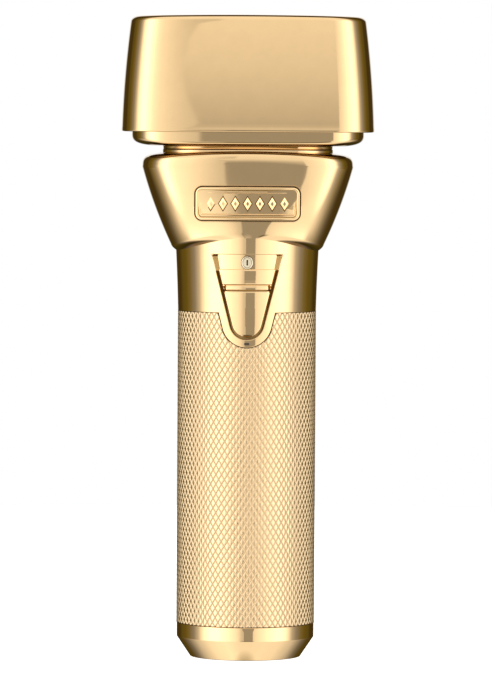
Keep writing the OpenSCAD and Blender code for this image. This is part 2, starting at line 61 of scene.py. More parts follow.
def link(tree, a, b):
    """Joins an output to an input."""
    tree.links.new(a, b)


def noise_of(tree, scale, detail=3.0, stretch=None):
    """Noise in object space, which stays put while the part moves."""
    coord = tree.nodes.new("ShaderNodeTexCoord")
    noise = tree.nodes.new("ShaderNodeTexNoise")
    noise.inputs["Scale"].default_value = scale
    noise.inputs["Detail"].default_value = detail
    if stretch is None:
        link(tree, coord.outputs["Object"], noise.inputs["Vector"])
    else:
        mapping = tree.nodes.new("ShaderNodeMapping")
        mapping.inputs["Scale"].default_value = stretch
        link(tree, coord.outputs["Object"], mapping.inputs["Vector"])
        link(tree, mapping.outputs["Vector"], noise.inputs["Vector"])
    return noise.outputs["Fac"]


def ranged(tree, value, low, high):
    """A value from 0 to 1 spread over low to high."""
    node = tree.nodes.new("ShaderNodeMapRange")
    node.inputs["To Min"].default_value = low
    node.inputs["To Max"].default_value = high
    link(tree, value, node.inputs["Value"])
    return node.outputs["Result"]


def tinted(tree, value, dark, light):
    """A colour between dark and light, by a value."""
    ramp = tree.nodes.new("ShaderNodeValToRGB")
    ramp.color_ramp.elements[0].color = (*dark, 1)
    ramp.color_ramp.elements[1].color = (*light, 1)
    ramp.color_ramp.elements[0].position = 0.3
    ramp.color_ramp.elements[1].position = 0.7
    link(tree, value, ramp.inputs["Fac"])
    return ramp.outputs["Color"]


def bumped(tree, bsdf, value, distance, strength=0.5):
    """Relief of the given distance, in metres, from a value."""
    bump = tree.nodes.new("ShaderNodeBump")
    bump.inputs["Distance"].default_value = distance
    bump.inputs["Strength"].default_value = strength
    link(tree, value, bump.inputs["Height"])
    link(tree, bump.outputs["Normal"], bsdf.inputs["Normal"])


def painted_shade_below(tree, colour, painted_underside_shade):
    """The colour, turned to a painted shade colour on faces that look down."""
    facing = tree.nodes.new("ShaderNodeNewGeometry")
    split = tree.nodes.new("ShaderNodeSeparateXYZ")
    link(tree, facing.outputs["Normal"], split.inputs[0])
    down = tree.nodes.new("ShaderNodeMapRange")
    down.inputs["From Min"].default_value = -0.62
    down.inputs["From Max"].default_value = -0.86
    link(tree, split.outputs["Z"], down.inputs["Value"])
    mix = tree.nodes.new("ShaderNodeMix")
    mix.data_type = "RGBA"
    link(tree, down.outputs["Result"], mix.inputs[0])
    link(tree, colour, mix.inputs[6])
    mix.inputs[7].default_value = (*painted_underside_shade, 1)
    return mix.outputs[2]


def metal(name, color, rough, spread=0.02, stretch=None, scale=900, painted_underside_shade=None):
    """A metal with fine variation, which may have a painted shade colour on faces that look down."""
    m, tree, bsdf = new_material(name)
    bsdf.inputs["Metallic"].default_value = 1.0
    fine = noise_of(tree, scale, 4.0, stretch)
    base = tinted(tree, fine, tuple(c * 0.97 for c in color), color)
    if painted_underside_shade:
        base = painted_shade_below(tree, base, painted_underside_shade)
    link(tree, base, bsdf.inputs["Base Color"])
    link(tree, ranged(tree, fine, rough - spread, rough + spread), bsdf.inputs["Roughness"])
    return m


def plastic(name, color, rough, spread=0.06, scale=1500, bump=0.00001, coat=0.0):
    """A moulded plastic or rubber with fine grain."""
    m, tree, bsdf = new_material(name)
    grain = noise_of(tree, scale, 3.0)
    dark = tuple(c * 0.88 for c in color)
    link(tree, tinted(tree, grain, dark, color), bsdf.inputs["Base Color"])
    link(tree, ranged(tree, grain, rough - spread, rough + spread), bsdf.inputs["Roughness"])
    bsdf.inputs["Coat Weight"].default_value = coat
    if bump:
        bumped(tree, bsdf, grain, bump)
    return m


GOLD = (0.95, 0.66, 0.34)
MATERIALS = {
    # Faces that look down get painted shade: a dark brown in place of the gold.
    "polished_gold": metal("polished_gold", GOLD, 0.045, 0.012, scale=300, painted_underside_shade=(0.2, 0.13, 0.055)),
    "badge_gold": metal("badge_gold", GOLD, 0.09, 0.03, scale=2500),
    "knurled_gold": metal("knurled_gold", (0.87, 0.64, 0.37), 0.28, 0.04, scale=600),
    # Darker than the knurl's pads: painted shade in the grooves.
    "groove_painted_shade_gold": metal("groove_painted_shade_gold", (0.74, 0.55, 0.33), 0.34, 0.05, scale=900),
    # A dark gold that paints shade on the recess walls, the gap by the button, the switch ridge's lines and the
    # nameplate's inner line.
    "painted_shade_gold": metal("painted_shade_gold", (0.33, 0.2, 0.07), 0.25, 0.04, scale=900),
    # The on/off mark's own pale satin gold, also used to paint light on the recess wall above the button.
    "satin_mark_and_painted_light_gold": metal("satin_mark_and_painted_light_gold", (1.0, 0.87, 0.62), 0.35, 0.04, scale=2500),
    "moulded_black": plastic("moulded_black", (0.03, 0.03, 0.032), 0.5),
    "black_rubber": plastic("black_rubber", (0.02, 0.02, 0.02), 0.8),
    "contact_nickel": metal("contact_nickel", (0.75, 0.73, 0.68), 0.25, 0.05),
    "screw_steel": metal("screw_steel", (0.55, 0.56, 0.58), 0.3, 0.06),
    "battery_wrap": plastic("battery_wrap", (0.1, 0.24, 0.5), 0.25, coat=0.4),
    "battery_wire": plastic("battery_wire", (0.55, 0.05, 0.04), 0.4),
    "jack_wire": plastic("jack_wire", (0.1, 0.1, 0.11), 0.4),
    "motor_wire": plastic("motor_wire", (0.75, 0.55, 0.08), 0.4),
    "board_laminate": plastic("board_laminate", (0.02, 0.16, 0.07), 0.35, coat=0.3),
    "component_body": plastic("component_body", (0.03, 0.03, 0.03), 0.45),
    "switch_steel": metal("switch_steel", (0.7, 0.7, 0.7), 0.3, 0.05),
    "led_white": plastic("led_white", (0.9, 0.9, 0.85), 0.2),
    "clear_pipe": plastic("clear_pipe", (0.05, 0.035, 0.02), 0.12, 0.02, bump=0, coat=0.5),
    "white_acetal": plastic("white_acetal", (0.82, 0.82, 0.8), 0.42),
    "motor_steel": metal("motor_steel", (0.62, 0.63, 0.65), 0.28, 0.05, (1, 1, 40)),
    "magnet_ferrite": plastic("magnet_ferrite", (0.08, 0.08, 0.085), 0.6),
    "sintered_bronze": metal("sintered_bronze", (0.55, 0.36, 0.18), 0.45, 0.08, scale=3000),
    "shaft_steel": metal("shaft_steel", (0.7, 0.7, 0.72), 0.16, 0.04),
    "winding_copper": metal("winding_copper", (0.6, 0.28, 0.12), 0.35, 0.08, (1, 1, 60)),
    "commutator_copper": metal("commutator_copper", (0.72, 0.38, 0.2), 0.25, 0.05, (1, 1, 30)),
    "blade_steel": metal("blade_steel", (0.72, 0.73, 0.75), 0.2, 0.05, (40, 1, 1)),
    "foil_gold": metal("foil_gold", (0.88, 0.72, 0.42), 0.2, 0.05, (1, 20, 20)),
    "spring_steel": metal("spring_steel", (0.6, 0.6, 0.62), 0.25, 0.05),
}


def dark_mark_and_gap_shadow_material():
    """Dark metal for engraved marks, and for painted shadow in narrow gaps and seams."""
    m, tree, bsdf = new_material("dark_mark_and_painted_gap_shadow")
    bsdf.inputs["Metallic"].default_value = 1.0
    grain = noise_of(tree, 1200)
    link(tree, tinted(tree, grain, (0.06, 0.035, 0.015), (0.11, 0.065, 0.03)), bsdf.inputs["Base Color"])
    link(tree, ranged(tree, grain, 0.35, 0.5), bsdf.inputs["Roughness"])
    return m


MATERIALS["dark_mark_and_painted_gap_shadow"] = dark_mark_and_gap_shadow_material()


# ---------------------------------------------------------------- mesh tools

def wound_with(points, normals, face):
    """The face, turned over if it runs against its vertices' normals."""
    a, b, c = (np.asarray(points[face[k]], float) for k in (0, len(face) // 2, len(face) - 1))
    n = np.cross(b - a, c - a)
    return face if float(n @ sum(normals[v] for v in face)) >= 0 else face[::-1]


def add_piece(name, points, faces, mat, body="handle", nodes=(), sharp=30, normals=None):
    """A smooth-shaded mesh piece in millimetres that rides on a CAD body."""
    mesh = bpy.data.meshes.new(name)
    if normals is not None:
        faces = [wound_with(points, normals, f) for f in faces]
    mesh.from_pydata((np.asarray(points, float) * MM).tolist(), [], faces)
    mesh.validate()
    mesh.materials.append(MATERIALS[mat])
    mesh.polygons.foreach_set("use_smooth", [True] * len(mesh.polygons))
    if normals is not None:
        mesh.normals_split_custom_set_from_vertices([tuple(n) for n in normals])
    elif sharp:
        mesh.set_sharp_from_angle(angle=math.radians(sharp))
    obj = bpy.data.objects.new(name, mesh)
    bpy.context.scene.collection.objects.link(obj)
    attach(obj, body)
    if nodes:
        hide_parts(*nodes)
    return obj


class Build:
    """Collects vertices and faces of one piece."""

    def __init__(self):
        self.points, self.faces, self.count = [], [], 0

    def add(self, pts):
        start = self.count
        self.points.extend([tuple(p) for p in pts])
        self.count += len(pts)
        return start

    def capped(self, rows, centre, flip=False):
        """Quads between closed rows, with the last row closed by a fan to a centre point."""
        n = len(rows[0])
        start = self.grid(rows, flip=flip)
        self.fan(start + (len(rows) - 1) * n, n, centre, flip)

    def grid(self, rows, closed=True, flip=False, skip=None):
        """Quads between successive rows of points."""
        n = len(rows[0])
        start = self.add([p for row in rows for p in row])
        for k in range(len(rows) - 1):
            for i in range(n if closed else n - 1):
                if skip and skip(k, i):
                    continue
                j = (i + 1) % n
                low, high = start + k * n, start + (k + 1) * n
                quad = (low + i, low + j, high + j, high + i)
                self.faces.append(quad[::-1] if flip else quad)
        return start

    def fan(self, first, n, centre, flip=False):
        """Triangles from a closed row that starts at vertex first to a centre point."""
        c = self.add([centre])
        for i in range(n):
            tri = (first + i, first + (i + 1) % n, c)
            self.faces.append(tri[::-1] if flip else tri)

    def piece(self, name, mat, slot, body="handle", nodes=(), sharp=30):
        return add_piece(name, self.points, self.faces, mat, body, nodes, sharp)


def plan(a, b, front_radius, reach, side_spread, n=QUARTER):
    """A closed plan outline of half width a and half depth b, from the front centre to the right.

    Its front has the given radius over about reach * a. Corner and side follow from a and b.
    """
    psi = np.linspace(0, math.pi / 2, 1441)
    spread = reach * a / (0.886 * front_radius)
    w_f = np.exp(-(psi / spread) ** 2)
    w_s = np.exp(-((math.pi / 2 - psi) / side_spread) ** 2)
    w_c = np.clip(1 - w_f - w_s, 0, None)

    def integral(w, f):
        g = w * f(psi)
        return float(np.sum((g[1:] + g[:-1]) / 2) * (psi[1] - psi[0]))

    m = np.array([[integral(w_c, np.cos), integral(w_s, np.cos)],
                  [integral(w_c, np.sin), integral(w_s, np.sin)]])
    rhs = np.array([a - front_radius * integral(w_f, np.cos), b - front_radius * integral(w_f, np.sin)])
    r_c, r_s = np.linalg.solve(m, rhs)
    rho = front_radius * w_f + r_c * w_c + r_s * w_s
    step = psi[1] - psi[0]
    mid = (psi[1:] + psi[:-1]) / 2
    rho_mid = (rho[1:] + rho[:-1]) / 2
    x = np.concatenate([[0], np.cumsum(rho_mid * np.cos(mid)) * step])
    y = np.concatenate([[0], np.cumsum(rho_mid * np.sin(mid)) * step])
    s = np.concatenate([[0], np.cumsum(rho_mid) * step])
    t = np.linspace(0, s[-1], n + 1)
    qx, qy = np.interp(t, s, x), -b + np.interp(t, s, y)
    qx[-1], qy[-1] = a, 0
    right_front = np.stack([qx, qy], 1)
    right_back = np.stack([qx, -qy], 1)[::-1]
    half = np.concatenate([right_front[:-1], right_back])
    left = half[1:-1][::-1] * [-1, 1]
    return np.concatenate([half, left])


def turned(r, t, z):
    """Points at radius r and angle t from the front, at height z."""
    return np.column_stack([r * np.sin(t), -r * np.cos(t), np.broadcast_to(z, np.shape(t))])


def circle(r, n=COLS):
    """A flat circle of n points."""
    t = np.arange(n) * 2 * math.pi / n
    return np.stack([r * np.sin(t), -r * np.cos(t)], 1)


def level(outline, z, crown=0.0):
    """Points of an outline at height z, which dips by crown at its two ends."""
    a = np.abs(outline[:, 0]).max()
    zs = z - crown * (outline[:, 0] / a) ** 2
    return np.column_stack([outline, zs])


def cdt(outer, holes, inside):
    """Triangles over a flat outline with holes. Returns the points and faces."""
    pts, edges = [], []
    for loop in [outer] + list(holes):
        start = len(pts)
        pts.extend([Vector(p) for p in loop])
        edges.extend([(start + i, start + (i + 1) % len(loop)) for i in range(len(loop))])
    pts.extend([Vector(p) for p in inside])
    verts, _, faces, _, _, _ = geometry.delaunay_2d_cdt(pts, edges, [], 0, 1e-6)
    flat = np.array([tuple(v) for v in verts])
    middle = np.array([flat[list(f)].mean(axis=0) for f in faces])
    keep = in_polygon(middle, outer)
    for loop in holes:
        keep &= ~in_polygon(middle, loop)
    return flat, [tuple(f) if ccw(flat, f) else tuple(f)[::-1] for f, k in zip(faces, keep) if k]


def ccw(flat, f):
    """Does a flat triangle run anticlockwise?"""
    (ax, ay), (bx, by), (cx, cy) = flat[f[0]], flat[f[1]], flat[f[2]]
    return (bx - ax) * (cy - ay) - (cx - ax) * (by - ay) > 0


def in_polygon(pts, loop):
    """Which points lie in a closed loop."""
    pts, loop = np.asarray(pts, float), np.asarray(loop, float)
    x, y = pts[:, 0], pts[:, 1]
    hit = np.zeros(len(pts), bool)
    for (x0, y0), (x1, y1) in zip(loop, np.roll(loop, -1, axis=0)):
        crosses = (y0 > y) != (y1 > y)
        with np.errstate(divide="ignore", invalid="ignore"):
            cut = (x1 - x0) * (y - y0) / (y1 - y0) + x0
        hit ^= crosses & (x < cut)
    return hit


def near_loop(pts, loop, gap):
    """Which points lie within gap of a closed loop."""
    pts, loop = np.asarray(pts, float), np.asarray(loop, float)
    best = np.full(len(pts), 1e9)
    for p, q in zip(loop, np.roll(loop, -1, axis=0)):
        d = q - p
        t = np.clip(((pts - p) @ d) / max(float(d @ d), 1e-12), 0, 1)
        best = np.minimum(best, np.hypot(*(pts - p - t[:, None] * d).T))
    return best < gap


def inner_grid(loop, xs, zs, gap):
    """Grid points that lie inside a closed loop and keep a gap from it."""
    gx, gz = np.meshgrid(xs, zs)
    pts = np.column_stack([gx.ravel(), gz.ravel()])
    return pts[in_polygon(pts, loop) & ~near_loop(pts, loop, gap)]


# ---------------------------------------------------------------- housing

# Barrel and sleeve
GRIP_R = 17.0
SLEEVE_LOW = 8.4
SEAM_R = GRIP_R + 0.012
# Housing
COLLAR_R = 17.03
COLLAR_LOW = 85.5
PATCH_TOP = 100.2
VEE_ANGLE = math.radians(14.3)
VEE_Z = 83.1
RECESS_R, RECESS_TOP, RECESS_CORNER = 4.3, 99.6, 0.5
TONGUE_R = 6.2
FLOOR_R = 15.9
FLARE_LOW, FLARE_RISE, FLARE_REACH = 103.6, 18.2, 0.68
BUTTON_TOP = 96.0
BUTTON_GAP = 0.4
ROUND_STEPS = 5
EDGE = 0.22


def collar_r(z):
    """Radius of the collar and tongue at a height."""
    d = np.asarray(z, float) - COLLAR_LOW
    return np.where(d > 0, COLLAR_R + 0.024 * d + 0.001 * d * d, COLLAR_R - 0.006 * d)


def collar_slope(z):
    """How fast the collar's radius grows with height."""
    d = np.asarray(z, float) - COLLAR_LOW
    return np.where(d > 0, 0.024 + 0.002 * d, -0.006)


def vee(r, top, corner=0.0, side_n=66, top_n=72):
    """Front-view outline (x, z) of the recess family, anticlockwise from the top right corner."""
    arc_n = 40
    t = np.linspace(math.pi + VEE_ANGLE, 2 * math.pi - VEE_ANGLE, arc_n)
    arc = np.stack([r * np.cos(t), VEE_Z + r * np.sin(t)], 1)
    tangent_z = arc[0, 1]
    top_x = r * math.cos(VEE_ANGLE) + (top - tangent_z) * math.tan(VEE_ANGLE)
    f = np.linspace(0, 1, side_n)[1:-1]
    right_low = arc[-1]
    if corner > 0:
        turn = math.pi / 2 + VEE_ANGLE
        reach = corner * math.tan(turn / 2)
        side_dir = np.array([math.sin(VEE_ANGLE), math.cos(VEE_ANGLE)])
        start = np.array([top_x, top]) - side_dir * reach
        centre = start + corner * np.array([-math.cos(VEE_ANGLE), math.sin(VEE_ANGLE)])
        ang = np.linspace(-VEE_ANGLE, math.pi / 2, 8)
        bend = centre + corner * np.stack([np.cos(ang), np.sin(ang)], 1)
    else:
        start = np.array([top_x, top])
        bend = start[None, :]
    side = right_low + f[:, None] * (start - right_low)
    g = np.linspace(0, 1, top_n)[1:-1]
    top_pts = bend[-1] + g[:, None] * np.array([-2 * bend[-1, 0], 0])
    left_bend = bend[::-1] * [-1, 1]
    left_side = side[::-1] * [-1, 1]
    return np.concatenate([arc, side, bend, top_pts, left_bend, left_side])


def on_turned(xz, r):
    """Puts front-view points on the front of a turned surface of radius r, a number or a function of z."""
    xz = np.asarray(xz, float)
    rr = r(xz[:, 1]) if callable(r) else np.full(len(xz), float(r))
    return np.column_stack([xz[:, 0], -np.sqrt(np.maximum(rr ** 2 - xz[:, 0] ** 2, 0)), xz[:, 1]])


def turned_normals(pts, slope):
    """Outward normals of a turned surface whose radius grows by slope per unit of height."""
    pts = np.asarray(pts, float)
    rr = np.hypot(pts[:, 0], pts[:, 1])
    n = np.column_stack([pts[:, 0] / rr, pts[:, 1] / rr, -np.broadcast_to(slope, rr.shape)])
    return n / np.linalg.norm(n, axis=1)[:, None]


def flare_outline(u):
    """Plan outline of the flare, from its foot at u = 0 to its rim at u = 1."""
    a = 18.25 + 7.76 * (1.28 * u - 0.28 * u * u)
    b = 17.75 + 0.05 * u
    kappa = 0.0066 + 0.0195 * math.exp(-(u / 0.33) ** 2)
    return plan(a, b, 1 / kappa, FLARE_REACH, math.radians(34 - 20 * u))


def flare_level(u):
    return level(flare_outline(u), FLARE_LOW + FLARE_RISE * u, 3.2 - 2.1 * u)


theta = np.arange(COLS) * 2 * math.pi / COLS
front_cols = 48


def collar_row(z):
    """A ring of points on the collar."""
    z = np.broadcast_to(z, theta.shape)
    return turned(collar_r(z), theta, z)


crease_z = FLARE_LOW - 3.35 * (1 - np.abs(np.cos(theta)) ** 2.8)
crease_rise = 1.35
rows = []
for z in np.linspace(COLLAR_LOW, PATCH_TOP, 22):
    rows.append(collar_row(z))
patch_rows = len(rows) - 1
for f in (0.25, 0.5, 0.75, 1.0):
    rows.append(collar_row(PATCH_TOP + f * (crease_z - PATCH_TOP)))
crease_base = rows[-1]
lip_u = crease_rise / 20
lip = flare_level(lip_u)
steps = 10


def lip_out(f):
    """Share of the overhang reached at fraction f of the lip's height; steep near the crease."""
    return (1.9 * (f - f * f / 2) + 0.15 * f * f) / 1.1


for k in range(1, steps + 1):
    f = k / steps
    row = crease_base.copy()
    row[:, :2] += (lip[:, :2] - crease_base[:, :2]) * lip_out(f)
    row[:, 2] += (lip[:, 2] - crease_base[:, 2]) * f
    rows.append(row)
for u in np.linspace(lip_u, 1.0, 46)[1:]:
    rows.append(flare_level(u))
rim_a, rim_b, rim_front_r = 25.95, 17.8, 147
for da, z, crown in (
        (0.0, 122.3, 1.1), (0.03, 122.85, 1.12), (0.12, 123.35, 1.15), (0.3, 123.8, 1.18), (0.55, 124.15, 1.18),
        (0.85, 124.42, 1.18), (1.25, 124.62, 1.16), (1.8, 124.76, 1.12), (2.6, 124.8, 1.0), (3.4, 124.7, 0.75),
        (4.4, 124.4, 0.25), (6.5, 124.2, 0.03), (9.0, 124.2, 0.0)):
    outline = plan(rim_a - da, rim_b - da, rim_front_r, FLARE_REACH, math.radians(14))
    rows.append(level(outline, z, crown))
inner = level(plan(12, 8.5, 20, 0.6, 0.5), 124.2)
rows.append(inner)
rows.append(inner - [0, 0, 2.0])


def grid_normals(rows):
    """Normals of a closed grid of rows by central differences."""
    g = np.array(rows)
    along = np.roll(g, -1, axis=1) - np.roll(g, 1, axis=1)
    up = np.empty_like(g)
    up[1:-1] = g[2:] - g[:-2]
    up[0] = g[1] - g[0]
    up[-1] = g[-1] - g[-2]
    n = np.cross(along, up)
    return n / np.maximum(np.linalg.norm(n, axis=2), 1e-12)[:, :, None]


normals = grid_normals(rows)
crease_row = patch_rows + 4
for k in range(crease_row + 1):
    zs = rows[k][:, 2]
    normals[k] = turned_normals(rows[k], collar_slope(zs))
lip_normals = grid_normals(rows[crease_row:crease_row + steps + 3])
normals[crease_row + 1:crease_row + steps] = lip_normals[1:steps]

body_mesh = Build()
all_normals = []


def front_hole(k, i):
    """Is this face where the front patch goes?"""
    return k < patch_rows and (i < front_cols or i >= COLS - front_cols)


# The crease row appears twice, so that its line stays sharp at the sides.
body_mesh.grid(rows[:crease_row + 1], skip=front_hole)
all_normals.append(normals[:crease_row + 1].reshape(-1, 3))
body_mesh.grid([crease_base] + rows[crease_row + 1:])
all_normals.append(lip_normals[0])
all_normals.append(normals[crease_row + 1:].reshape(-1, 3))

# Front patch: collar and tongue round the switch recess, laid out flat at this radius.
scale_s = 17.3


def to_plane(xz):
    """Front view to the unrolled collar."""
    xz = np.asarray(xz, float)
    return np.column_stack([np.arcsin(xz[:, 0] / collar_r(xz[:, 1])) * scale_s, xz[:, 1]])


def from_plane(sz):
    """Unrolled collar back to its place."""
    sz = np.asarray(sz, float)
    return turned(collar_r(sz[:, 1]), sz[:, 0] / scale_s, sz[:, 1])


def tongue_cut(grow):
    """Half width of a tongue outline at the collar's foot."""
    return (TONGUE_R + grow) / math.cos(VEE_ANGLE) + (COLLAR_LOW - VEE_Z) * math.tan(VEE_ANGLE)


def tongue_line(grow):
    """Part of a tongue outline below the collar, left to right."""
    line = vee(TONGUE_R + grow, COLLAR_LOW + 3)
    low = line[line[:, 1] < COLLAR_LOW - 0.05]
    low = low[np.argsort(np.arctan2(low[:, 0], VEE_Z + 4 - low[:, 1]))]
    x_cut = tongue_cut(grow)
    return np.concatenate([[[-x_cut, COLLAR_LOW]], low, [[x_cut, COLLAR_LOW]]])


edge_s = theta[front_cols] * scale_s
side_z = np.linspace(COLLAR_LOW, PATCH_TOP, 22)
tongue_s = to_plane(tongue_line(-EDGE))
foot_s = np.linspace(edge_s, tongue_s[-1, 0], 14)[1:-1]
bottom_right = np.column_stack([foot_s, np.full(len(foot_s), COLLAR_LOW)])
top_cols = np.arange(-front_cols, front_cols + 1) * scale_s * 2 * math.pi / COLS
outer = [(edge_s, z) for z in side_z[::-1]]
outer += [tuple(p) for p in bottom_right]
outer += [tuple(p) for p in tongue_s[::-1]]
outer += [(-p[0], p[1]) for p in bottom_right[::-1]]
outer += [(-edge_s, z) for z in side_z]
outer += [(s, PATCH_TOP) for s in top_cols[1:-1]]
recess_outline = vee(RECESS_R + EDGE, RECESS_TOP + EDGE, RECESS_CORNER)
hole = to_plane(recess_outline)
inside = inner_grid(outer, np.arange(-edge_s + 0.5, edge_s, 0.62),
                    np.arange(77.2, PATCH_TOP - 0.2, 0.62), 0.3)
inside = inside[~in_polygon(inside, hole) & ~near_loop(inside, hole, 0.3)]
flat_pts, flat_faces = cdt(outer, [hole], inside)
patch_pts = from_plane(flat_pts)
start = body_mesh.add(patch_pts)
body_mesh.faces.extend(tuple(start + i for i in f) for f in flat_faces)
all_normals.append(turned_normals(patch_pts, collar_slope(patch_pts[:, 2])))


def edge_strip(outline_of):
    """Rounded edge and side wall that run in from the patch to the recess floor along an outline."""
    rows = []
    for k in range(ROUND_STEPS + 1):
        t = math.pi / 2 * k / ROUND_STEPS
        rows.append(on_turned(outline_of(EDGE * (1 - math.sin(t))),
                              lambda z: collar_r(z) - EDGE * (1 - math.cos(t))))
    rows.append(on_turned(outline_of(0), FLOOR_R))
    base_n = turned_normals(rows[0], collar_slope(rows[0][:, 2]))
    tangent = np.roll(rows[-2], -1, axis=0) - np.roll(rows[-2], 1, axis=0)
    side = -np.cross(tangent, base_n)
    side /= np.maximum(np.linalg.norm(side, axis=1), 1e-9)[:, None]
    return rows, rounded_normals(base_n, side)


def rounded_normals(base_n, side):
    """Normals of each row of a rounded edge: they turn from base_n to side, and stay there on the wall."""
    turns = [math.pi / 2 * min(k, ROUND_STEPS) / ROUND_STEPS for k in range(ROUND_STEPS + 2)]
    return [base_n * math.cos(t) + side * math.sin(t) for t in turns]


# Recess wall: the opening's own outline shrinks into the housing. It is rougher than the housing, with painted
# shade beside and below the button and along its top, and a paler gold that paints light above the button.
r_rows, r_normals = edge_strip(lambda e: vee(RECESS_R + e, RECESS_TOP + e, RECESS_CORNER + e))
body_mesh.grid(r_rows[:3])
all_normals.extend(r_normals[:3])


def wall_piece(name, mat, keep):
    """The part of the recess wall whose height passes a test."""
    wall = Build()
    wall.grid(r_rows[2:], skip=lambda k, i: not keep(r_rows[2 + k][i][2]))
    used = sorted({v for f in wall.faces for v in f})
    place = {v: i for i, v in enumerate(used)}
    ns = np.concatenate(r_normals[2:])[used]
    return add_piece(name, np.array(wall.points)[used], [tuple(place[v] for v in f) for f in wall.faces], mat,
                     normals=ns)


# Recess floor.
floor_loop = vee(RECESS_R, RECESS_TOP, RECESS_CORNER)
floor_in = inner_grid(floor_loop, np.arange(-9, 9.1, 0.6), np.arange(79, 99.6, 0.6), 0.25)
floor_flat, floor_faces = cdt([tuple(p) for p in floor_loop], [], floor_in)
floor_pts = on_turned(floor_flat, FLOOR_R)
start = body_mesh.add(floor_pts)
body_mesh.faces.extend(tuple(start + i for i in f) for f in floor_faces)
all_normals.append(turned_normals(floor_pts, 0.0))

# Edge of the tongue and of the collar's foot, which turn in to the sleeve.
tongue_rows = []
for k in range(ROUND_STEPS + 1):
    t = math.pi / 2 * k / ROUND_STEPS
    drop = EDGE * (1 - math.cos(t))
    tongue_rows.append(on_turned(tongue_line(-EDGE * (1 - math.sin(t))), lambda z: collar_r(z) - drop))
tongue_rows.append(on_turned(tongue_line(0), 16.4))
base_n = turned_normals(tongue_rows[0], collar_slope(tongue_rows[0][:, 2]))
side = np.cross(np.gradient(tongue_rows[ROUND_STEPS], axis=0), base_n)
side /= np.linalg.norm(side, axis=1)[:, None]
if side[len(side) // 2][2] > 0:
    side = -side
tongue_ns = rounded_normals(base_n, side)
body_mesh.grid(tongue_rows, closed=False, flip=True)
all_normals.extend(tongue_ns)

foot_rows, foot_ns = [], []
foot_theta = theta[front_cols:COLS - front_cols + 1]
skirt = np.linspace(theta[front_cols], math.asin(tongue_cut(-EDGE) / COLLAR_R), 30)
foot_theta = np.concatenate([skirt[::-1][:-1], foot_theta, 2 * math.pi - skirt[1:]])
for k in range(4):
    t = math.pi / 2 * min(k, 2) / 2
    drop = 0.1 * (1 - math.cos(t)) if k < 3 else 1.0
    z = COLLAR_LOW - 0.1 * math.sin(t)
    foot_rows.append(turned(COLLAR_R - drop, foot_theta, z))
    foot_ns.append(turned(1.0, foot_theta, 0.0) * math.cos(t) + np.array([0, 0, -math.sin(t)]))
body_mesh.grid(foot_rows, closed=False, flip=True)
all_normals.extend(foot_ns)

add_piece("housing_shell", body_mesh.points, body_mesh.faces, "polished_gold",
          nodes=("upper_housing",), normals=np.concatenate(all_normals))
wall_low, wall_high = BUTTON_TOP - BUTTON_GAP, RECESS_TOP - 0.4
# Painted light and shade on the wall by height: a paler gold above the button, dark gold along the top line and
# beside and below the button.
wall_piece("recess_wall_upper", "satin_mark_and_painted_light_gold", lambda z: wall_low < z < wall_high)
wall_piece("recess_wall_top", "painted_shade_gold", lambda z: z >= wall_high)
wall_piece("recess_wall_lower", "painted_shade_gold", lambda z: z <= wall_low)
# Painted shadow: a dark strip on the floor in the gap beside and below the button.
gap = Build()
gap.grid([on_turned(vee(RECESS_R - e, wall_low - 0.1 * e), FLOOR_R + 0.015) for e in (0.03, 1.1)])
gap.piece("recess_gap", "painted_shade_gold", "polished_gold")


# ---------------------------------------------------------------- grip

def knurl():
    """Diamond knurl: flat-topped pads between crossing V grooves."""
    across, height, depth = 70, 2.336, 0.17
    width = 2 * math.pi / across
    pads, grooves = Build(), Build()
    low, high = SLEEVE_LOW, 85.5
    rows_n = 33
    tongue_gap = vee(TONGUE_R - 0.25, COLLAR_LOW + 6)
    recess_gap = vee(RECESS_R + 0.3, COLLAR_LOW + 6)
    rings = ((1.0, -depth), (0.72, -0.035), (0.55, -0.008))

    def outside_cuts(part, face):
        """Does a face stay clear of the tongue and the recess?"""
        xz = [(part.points[v][0], part.points[v][2]) for v in face]
        return not in_polygon(xz, tongue_gap).all() and not in_polygon(xz, recess_gap).any()

    corner = np.array([[0, -1], [1, 0], [0, 1], [-1, 0]], float)
    mids = (corner + np.roll(corner, -1, axis=0)) / 2
    loop = np.empty((8, 2))
    loop[0::2], loop[1::2] = corner, mids
    for half in (0, 1):
        for j in range(rows_n + half):
            zc = low + (j + (0.5 if half == 0 else 0.0)) * height
            for i in range(across):
                tc = (i + 0.5 * half) * width
                front = math.cos(tc) > 0.9 and zc > 74
                pts = []
                for size, dr in rings:
                    q = loop * size
                    z = np.clip(zc + q[:, 1] * height / 2, low, high)
                    t = tc + q[:, 0] * width / 2
                    pts.append(turned(GRIP_R + dr, t, z))
                start = pads.add(np.concatenate(pts[1:]))
                deep = grooves.add(np.concatenate(pts[:2]))
                top_z = min(max(zc, low), high)
                pads.add([(SEAM_R * math.sin(tc), -SEAM_R * math.cos(tc), top_z)])
                turn = [(m, (m + 1) % 8) for m in range(8)]
                ring = [(m, n, n + 8, m + 8) for m, n in turn]
                top = [(m + 8, n + 8, 16) for m, n in turn]
                for part, first, new in ((grooves, deep, ring), (pads, start, ring + top)):
                    new = [tuple(first + v for v in f) for f in new]
                    part.faces.extend(f for f in new if not front or outside_cuts(part, f))
    return pads, grooves


pads, grooves = knurl()
# The grooves take painted shade.
grooves.piece("knurl_grooves", "groove_painted_shade_gold", "knurled_gold", sharp=16)
bore_n = 96
bore = circle(15.5, bore_n)
n0 = pads.add(np.column_stack([bore, np.full(bore_n, SLEEVE_LOW)]))
n1 = pads.add(np.column_stack([bore, np.full(bore_n, 77.0)]))
for i in range(bore_n):
    j = (i + 1) % bore_n
    pads.faces.append((n0 + i, n1 + i, n1 + j, n0 + j))
pads.piece("knurled_sleeve", "knurled_gold", "knurled_gold", nodes=("grip_sleeve",), sharp=16)


